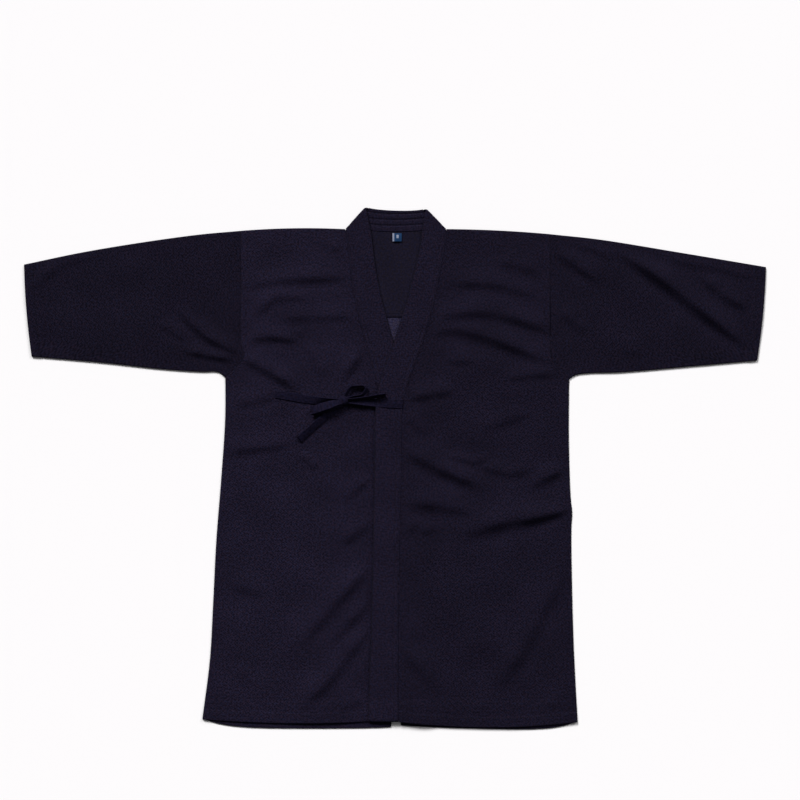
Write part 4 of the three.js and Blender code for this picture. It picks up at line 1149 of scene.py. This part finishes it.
def backLining():
    right, left = halves["right"], halves["left"]
    x = np.linspace(right["armhole"][0][0] + 0.6, left["armhole"][0][0] - 0.6, liningLook["columns"])
    isLeft, neckX, neckShare = acrossNeck(x)
    armX = np.where(isLeft, left["armhole"][0][0], right["armhole"][0][0])
    armY = np.where(isLeft, left["armhole"][0][1], right["armhole"][0][1])
    pastNeck = (x - neckX) / (armX - neckX)
    shoulder = mix(neckY, armY, pastNeck) - cloth["fold"] - cloth["gap"]
    folded = cloth["fold"] * (1 - soften(0, 0.3, neckShare))
    neck = neckY - cut["neckDip"] * soften(-0.3, 1, neckShare) - folded
    topY = np.where(pastNeck > 0, shoulder, neck)
    lengthDown = topY - cut["liningEdge"]
    fromFoot = np.concatenate([liningFoot, np.linspace(15, liningLook["deep"], liningLook["rows"])])
    y = cut["liningEdge"] + fromFoot[:, None] * (lengthDown / liningLook["deep"])
    z = np.full_like(y, overBack + cloth["lining"] - liningLook["sunk"])
    z += liningLook["wave"] * unevenness(x[None] * 1.3, y * 1.3).clip(-0.6, 0.6)
    turnedEdge = liningLook["hemRise"] * (1 - soften(7.2, 8.4, fromFoot))
    z += (turnedEdge - liningLook["groove"] * dent(fromFoot - liningLook["stitched"], 0.6))[:, None]
    z[:2] -= liningLook["edgeFalls"]
    return np.stack([np.tile(x, (len(y), 1)), y, z], axis=2)


addPiece("back_lining", "cloth", backLining(), "lining", [liningCloth], liningLook["thick"])


def sizeLabel():
    down = np.linspace(0, 1, 14)[:, None]
    side = np.linspace(-0.5, 0.5, 16)[None]
    x = label["x"] + side * label["width"] * (1 - label["taper"] * down)
    y = label["top"] - down * label["height"] + 0 * side
    z = overBack + overLining + label["lift"] + label["bow"] * bulge(down * 0.62)
    z = z + label["wave"] * np.sin(side * 5 + 2 * down)
    return np.stack([x, y, z], axis=2)


addPiece("size_label", "woven", sizeLabel(), "label", [labelMaterial()], label["thick"])
print("lining and label made")


# Finished pieces as one surface, and the place and normal where a ray dropped at x, y meets it.
def surfaceOf(names):
    points = []
    polygons = []
    for name in names:
        mesh = pieces[name].data
        start = len(points)
        points += [vertex.co.copy() for vertex in mesh.vertices]
        polygons += [[start + i for i in polygon.vertices] for polygon in mesh.polygons]
    return BVHTree.FromPolygons(points, polygons)


def dropOn(surface, x, y):
    return surface.ray_cast(Vector((x * mm, y * mm, 1)), Vector((0, 0, -1)))[:2]


topCloth = surfaceOf(["body_right", "body_left", "collar_right", "collar_left"])

# The tie: rows are (x, y, lean in degrees, lift off the cloth, share of the width left by gathering).
tape = {
    "width": 14.5,
    "thick": 1.8,
    "steps": 12,
    "clear": 0.2,
    "selvedges": [(0.3, 0.93), (0.2, 0.76)],
    "gather": 2.4,
    "loopAxis": (-0.52, 0.3, 0.8),
    "loopPull": 0.4,
}
knot = {
    "x": -91,
    "y": 120.5,
    "long": 18,
    "wide": 17,
    "high": 12,
    "turn": 0.6,
    "core": 0.86,
    "wrapSunk": (0.6, 0.4),
    "wrapReach": 7.2,
    "pinch": 1.5,
    "bend": 0.9,
    "uvRadius": 8,
}
tapes = {
    "tie_right": [
        (-213, 130.5, 0, 0, 0.85), (-190, 127.8, 4, 0, 1), (-164, 123.2, 9, 0, 1), (-146, 121, 16, 0, 1),
        (-129, 120, 34, 0, 0.9), (-112, 120.5, 56, 0.4, 0.75), (-94, 121.5, 66, 1.5, 0.5),
    ],
    "tie_left": [
        (14, 113.4, 0, 0, 1.08), (-12, 114.4, 0, 0, 1), (-34, 116, -10, 0, 1), (-50, 117.2, -22, 0, 1),
        (-66, 118.2, -30, 0, 0.9), (-80, 118.8, -32, 0, 0.75), (-92, 119, -26, 1, 0.5),
    ],
    "bow_loop_right": [
        (-92, 118.5, -16, 6, 0.55), (-104, 116, -16, 9.5, 0.75), (-116, 112.5, -18, 11, 1),
        (-129, 108.6, -16, 11, 1.02), (-139, 105, -12, 9.8, 1), (-146.5, 103, -6, 7.6, 1),
        (-147, 101.8, 0, 5.2, 1), (-141, 99.8, 12, 3.4, 1), (-125, 100.5, 46, 3, 0.9),
        (-111, 104.5, 52, 3.2, 0.8), (-93, 111, 48, 3.6, 0.65),
    ],
    "bow_loop_left": [
        (-91, 123, 86, 3, 0.5), (-86.5, 130, 88, 1.6, 0.6), (-80.5, 139.5, 88, 0.8, 0.66),
        (-76, 143.4, 88, 0.5, 0.68), (-66, 144.6, 88, 0.4, 0.68), (-55, 145, 88, 0.4, 0.68),
        (-50.6, 142, 88, 0.4, 0.68), (-53, 135.5, 88, 0.5, 0.66), (-59, 129.6, 88, 1.2, 0.62),
        (-74, 127, 88, 2.4, 0.56), (-91, 122, 86, 3, 0.5),
    ],
    "bow_end_right": [
        (-93, 113, 0, 0.6, 0.5), (-104, 105.5, 8, 0.4, 0.75), (-118, 96.5, 16, 0.6, 0.88),
        (-131, 86, 24, 0.8, 0.88), (-149, 70, 28, 0.6, 0.88), (-170.5, 50.5, 22, 0.6, 0.9),
    ],
    "bow_end_left": [
        (-92, 120, 60, 1.8, 0.6), (-78, 121, 64, 1.8, 0.8), (-62, 122.6, 64, 1.2, 0.92),
        (-46, 125, 64, 0.8, 0.92), (-31, 128, 66, 0.5, 0.88), (-16.5, 130.6, 70, 0.3, 0.8),
    ],
}


def clothUnder(x, y):
    place, _ = dropOn(topCloth, x, y)
    return place.z / mm if place else overBack


# Outline of a tape's section: a flat oval with thicker selvedges, bent where it is gathered up.
def tapeSection(gathered):
    turn = np.linspace(0, 2 * math.pi, 24, endpoint=False)
    across = np.sign(np.cos(turn)) * np.abs(np.cos(turn)) ** 0.35
    through = np.sign(np.sin(turn)) * np.abs(np.sin(turn)) ** 0.6
    thicker = [high * dent(np.abs(across) - place, 0.07) for high, place in tape["selvedges"]]
    through = through * (1 + thicker[0] - thicker[1])
    return across, through + gathered * tape["gather"] * (np.cos(across * 4.4) - 0.4)


def tapeGrid(rows):
    table = np.array(rows, float)
    far = table[np.argmax(np.hypot(table[:, 0] - table[0, 0], table[:, 1] - table[0, 1]))]
    side = np.array([table[0, 1] - far[1], far[0] - table[0, 0], 0])
    side /= np.linalg.norm(side)
    if side[1] < 0:
        side = -side
    centres = []
    for x, y, lean, lift, wide in rows:
        lean = math.radians(lean)
        reach = wide * tape["width"] / 2
        under = []
        for end in (-1, 0, 1):
            out = side * end * reach * math.cos(lean)
            under.append(clothUnder(x + out[0], y + out[1]) - end * reach * math.sin(lean))
        rest = tape["clear"] + math.cos(lean) * tape["thick"] / 2
        centres.append((x, y, max(under) + rest + lift))
    path = smoothPath(centres, tape["steps"])
    standing = min(row[2] for row in rows) > 80
    place = np.linspace(0, len(rows) - 1, len(path))
    lean = np.radians(np.interp(place, np.arange(len(rows)), table[:, 2]))
    wide = np.interp(place, np.arange(len(rows)), table[:, 4])
    run = np.gradient(path, axis=0)
    run /= np.linalg.norm(run, axis=1)[:, None]
    run = np.column_stack([np.convolve(column, np.ones(9), "same") for column in run.T])
    run /= np.linalg.norm(run, axis=1)[:, None]
    rings = []
    for i in range(len(path)):
        across = side * math.cos(lean[i]) + np.array([0, 0, math.sin(lean[i])])
        across = np.array(tape["loopAxis"]) if standing else across
        across -= run[i] * across.dot(run[i]) * (tape["loopPull"] if standing else 1)
        across /= np.linalg.norm(across)
        through = np.cross(run[i], across)
        a, t = tapeSection(0.5 * (1 - wide[i]))
        half = wide[i] * tape["width"] / 2
        rings.append(path[i] + np.outer(a * half, across) + np.outer(t * tape["thick"] / 2, through))
    return np.array(rings), lengthAlong(path)[-1]


def tapeUv(grid, run):
    around = lengthAlong(grid[0])
    return np.stack(np.meshgrid(np.append(around, around[-1] + 1), run), axis=2) * mm


tapeLengths = {}
for node, rows in tapes.items():
    grid, tapeLengths[node] = tapeGrid(rows)
    uv = tapeUv(grid, np.linspace(0, tapeLengths[node], len(grid)))
    addPiece(node, "tape", grid, "tape", [tapeCloth], ring=True, caps=True, uv=uv)


# The knot: a gathered core with one turn of tape pulled over it.
def knotPiece():
    bpy.ops.object.select_all(action="DESELECT")
    bpy.ops.mesh.primitive_uv_sphere_add(segments=44, ring_count=26, radius=1)
    core = bpy.context.object
    core.name = "bow_knot_core"
    points = np.array([vertex.co[:] for vertex in core.data.vertices])
    angle = np.arctan2(points[:, 1], points[:, 0])
    crumple = 1 + 0.07 * np.sin(5 * angle + 3 * points[:, 2]) + 0.05 * np.sin(9 * angle - 4 * points[:, 2])
    points *= crumple[:, None]
    size = np.array([knot["long"], knot["wide"], knot["high"]]) / 2 * knot["core"]
    points *= size
    c, s = math.cos(knot["turn"]), math.sin(knot["turn"])
    points[:, :2] = points[:, :2] @ np.array([[c, s], [-s, c]])
    foot = clothUnder(knot["x"], knot["y"])
    centre = np.array([knot["x"], knot["y"], foot + cloth["gap"] + knot["high"] / 2])
    core.data.vertices.foreach_set("co", ((points + centre) * mm).ravel())
    core.data.uv_layers[0].name = "cut"
    core.data.shade_smooth()
    turns = np.linspace(0, 2 * math.pi, 72, endpoint=False)
    across, through = tapeSection(0.0)
    along = np.array([-s, c, 0])
    sideways = np.array([c, s, 0])
    up = np.array([0, 0, 1])
    rings = []
    for turn in turns:
        outwards = along * math.cos(turn) + up * math.sin(turn)
        place = along * math.cos(turn) * (knot["wide"] / 2 - knot["wrapSunk"][0])
        place = place + up * math.sin(turn) * (knot["high"] / 2 - knot["wrapSunk"][1])
        reach = knot["wrapReach"] - knot["pinch"] * abs(math.cos(turn)) + 0.3 * math.sin(3 * turn)
        bend = knot["bend"] * np.cos(across * 2.6 + 0.3)
        ring = centre + place + np.outer(across * reach, sideways)
        ring += np.outer(through * tape["thick"] / 2 + bend - 0.5, outwards)
        rings.append(ring)
    uv = tapeUv(rings, turns * knot["uvRadius"])
    wrap = clothMesh("bow_knot_tape", np.array(rings), ring=True, loop=True, uv=uv)
    bpy.ops.object.select_all(action="DESELECT")
    core.select_set(True)
    wrap.select_set(True)
    bpy.context.view_layer.objects.active = wrap
    bpy.ops.object.join()
    return wrap


finishPiece(knotPiece(), [tapeCloth], "bow_knot")
print("tie made")

# Sewing: one small stitch, copied along each line of the seams.
stitch = {"length": 2.6, "thick": 1.0, "flat": 0.8, "pitch": 3.8, "proud": 0.1, "steepest": 0.3}


def stitchShape():
    bpy.ops.object.select_all(action="DESELECT")
    bpy.ops.mesh.primitive_ico_sphere_add(subdivisions=1, radius=0.5)
    pattern = bpy.context.object
    points = np.array([vertex.co[:] for vertex in pattern.data.vertices])
    points *= [stitch["length"], stitch["thick"], stitch["thick"] * stitch["flat"]]
    faces = np.array([polygon.vertices[:] for polygon in pattern.data.polygons])
    bpy.data.objects.remove(pattern)
    return points, faces


stitchPoints, stitchFaces = stitchShape()


def sewLines(node, lines, thickness=None):
    surface = surfaceOf([node])
    points, faces = [], []
    for line, thick in zip(lines, thickness or [1] * len(lines)):
        line = np.array(line, float)
        run = lengthAlong(line)
        count = max(1, int(run[-1] / stitch["pitch"]))
        shares = (np.arange(count) + 0.5) / count
        spots = pointsAlong(line, shares)
        ahead = pointsAlong(line, np.minimum(1, shares + 0.5 / count))
        for spot, forward in zip(spots, ahead):
            place, normal = dropOn(surface, spot[0], spot[1])
            if place is None or normal.z < stitch["steepest"]:
                continue
            normal = np.array(normal)
            direction = np.append(forward - spot, 0)
            direction -= normal * direction.dot(normal)
            direction /= np.linalg.norm(direction) + 1e-9
            sideways = np.cross(normal, direction)
            turned = stitchPoints * [1, thick, thick] @ np.array([direction, sideways, normal])
            faces.append(stitchFaces + len(points) * len(stitchPoints))
            points.append(turned * mm + np.array(place) + normal * stitch["proud"] * mm)
    piece = linkMesh(node + "_stitching", np.concatenate(points).tolist(), np.concatenate(faces).tolist())
    finishPiece(piece, [thread], None)


def insideLine(line, towards, distance):
    step = towards - line
    return line + step / np.linalg.norm(step, axis=1)[:, None] * distance


def bodyLines(side):
    half = halves[side.lower()]
    armPlaces = np.linspace(0.1, cut["armRows"] - 0.2, 80)
    arm = outerAt(half, armPlaces)
    inner = seamAt(half, armPlaces)
    rowStep = lengthAlong(half["sidePath"])[-1] / cut["sideRows"]
    hemPlace = np.full(1, cut["rows"] - (cloth["bodyHem"] - hemLook["stitched"]) / rowStep)
    ends = seamAt(half, hemPlace)[0], outerAt(half, hemPlace)[0]
    shares = np.linspace(0.02, 0.985, 60)[:, None]
    hem = mix(ends[0], ends[1], shares)
    hem[:, 1] += bulge(shares[:, 0]) * half["hemBow"] * soften(0.8, 1, hemPlace / cut["rows"])
    return [insideLine(arm, inner, 1.0), hem]


def sleeveLines(side):
    half = halves[side.lower()]
    length = lengthAlong(half["topPath"])[-1]
    along = np.full(1, 1 - (cloth["cuffHem"] - hemLook["stitched"]) / length)
    return [sleevePlan(half, along, np.linspace(0.03, 0.97, 60))[0]]


def bandLines(side):
    half = halves[side.lower()]
    places = np.linspace(0.35, cut["rows"] - 0.1, 300)
    seam = seamAt(half, places)
    free = freeAt(half, places)
    lines = [insideLine(seam, free, bandLook[key]) for key in ("stitchFromSeam", "secondFromSeam")]
    return lines + [insideLine(free, seam, bandLook["stitchFromFree"])]


# Stitching along the free edge is drawn thicker: real stitching, widened as painted shade of the shadow line
# along the band's free edge.
stitchThicknessWithPaintedShade = [1, 1, 1.8]
for side in ("Right", "Left"):
    name = side.lower()
    sewLines("body_" + name, bodyLines(side))
    sewLines("sleeve_" + name, sleeveLines(side))
    sewLines("collar_" + name, bandLines(side), stitchThicknessWithPaintedShade)
neckLines = []
for share in neckBand["lines"]:
    across = np.linspace(-72, 74, 60)
    lineY = neckY - 4 + share * neckBand["deep"] + 0.5 * np.sin(across / 23)
    neckLines.append(np.column_stack([across, lineY]))
sewLines("collar_neck", neckLines)
liningY = cut["liningEdge"] + liningLook["stitched"]
sewLines("back_lining", [[(x, liningY) for x in np.linspace(-255, 258, 60)]])


# A box of stitching where a tie is sewn to its front, from (x, y) of one corner to the other.
def tapeBox(x0, y0, x1, y1):
    return [[(x0, y0), (x1, y0)], [(x1, y0), (x1, y1)], [(x1, y1), (x0, y1)], [(x0, y1), (x0, y0)]]


sewLines("tie_right", tapeBox(-211, 125.25, -203, 134.75))
sewLines("tie_left", tapeBox(0, 110.15, 11.5, 120.65))
print("sewing made")

# A loop over the sides that only names each sleeve and collar node.
for name in ("right", "left"):
    node = "sleeve_" + name
    node = "collar_" + name

# Plain pale floor and soft studio light.
suns = [
    {"name": "key_light", "strength": 3.65, "width": 18, "height": 36, "from": 116},
    {"name": "second_light", "strength": 1.3, "width": 30, "height": 36, "from": 48},
]
light = {"world": 0.11, "floor": "#FAF8F9"}


def addFloor():
    bpy.ops.object.select_all(action="DESELECT")
    bpy.ops.mesh.primitive_plane_add(size=12, location=(0, 0, -0.0002))
    floor = bpy.context.object
    floor.name = "floor"
    material = bpy.data.materials.new("paper_sweep")
    material.use_nodes = True
    shader = material.node_tree.nodes["Principled BSDF"]
    shader.inputs["Base Color"].default_value = linear(light["floor"])
    shader.inputs["Roughness"].default_value = 0.9
    shader.inputs["Specular IOR Level"].default_value = 0.1
    floor.data.materials.append(material)


def addLights():
    for row in suns:
        bpy.ops.object.light_add(type="SUN", location=(0, 2, 3))
        sun = bpy.context.object
        sun.name = row["name"]
        sun.data.energy = row["strength"]
        sun.data.angle = math.radians(row["width"])
        sun.rotation_euler = (0, math.radians(90 - row["height"]), math.radians(row["from"]))
    world = bpy.data.worlds.new("studio")
    bpy.context.scene.world = world
    world.use_nodes = True
    background = world.node_tree.nodes["Background"]
    background.inputs["Color"].default_value = linear("#FDFDFF")
    background.inputs["Strength"].default_value = light["world"]
    bpy.context.scene.view_settings.view_transform = "Standard"


addFloor()
addLights()
print("floor and lights made")
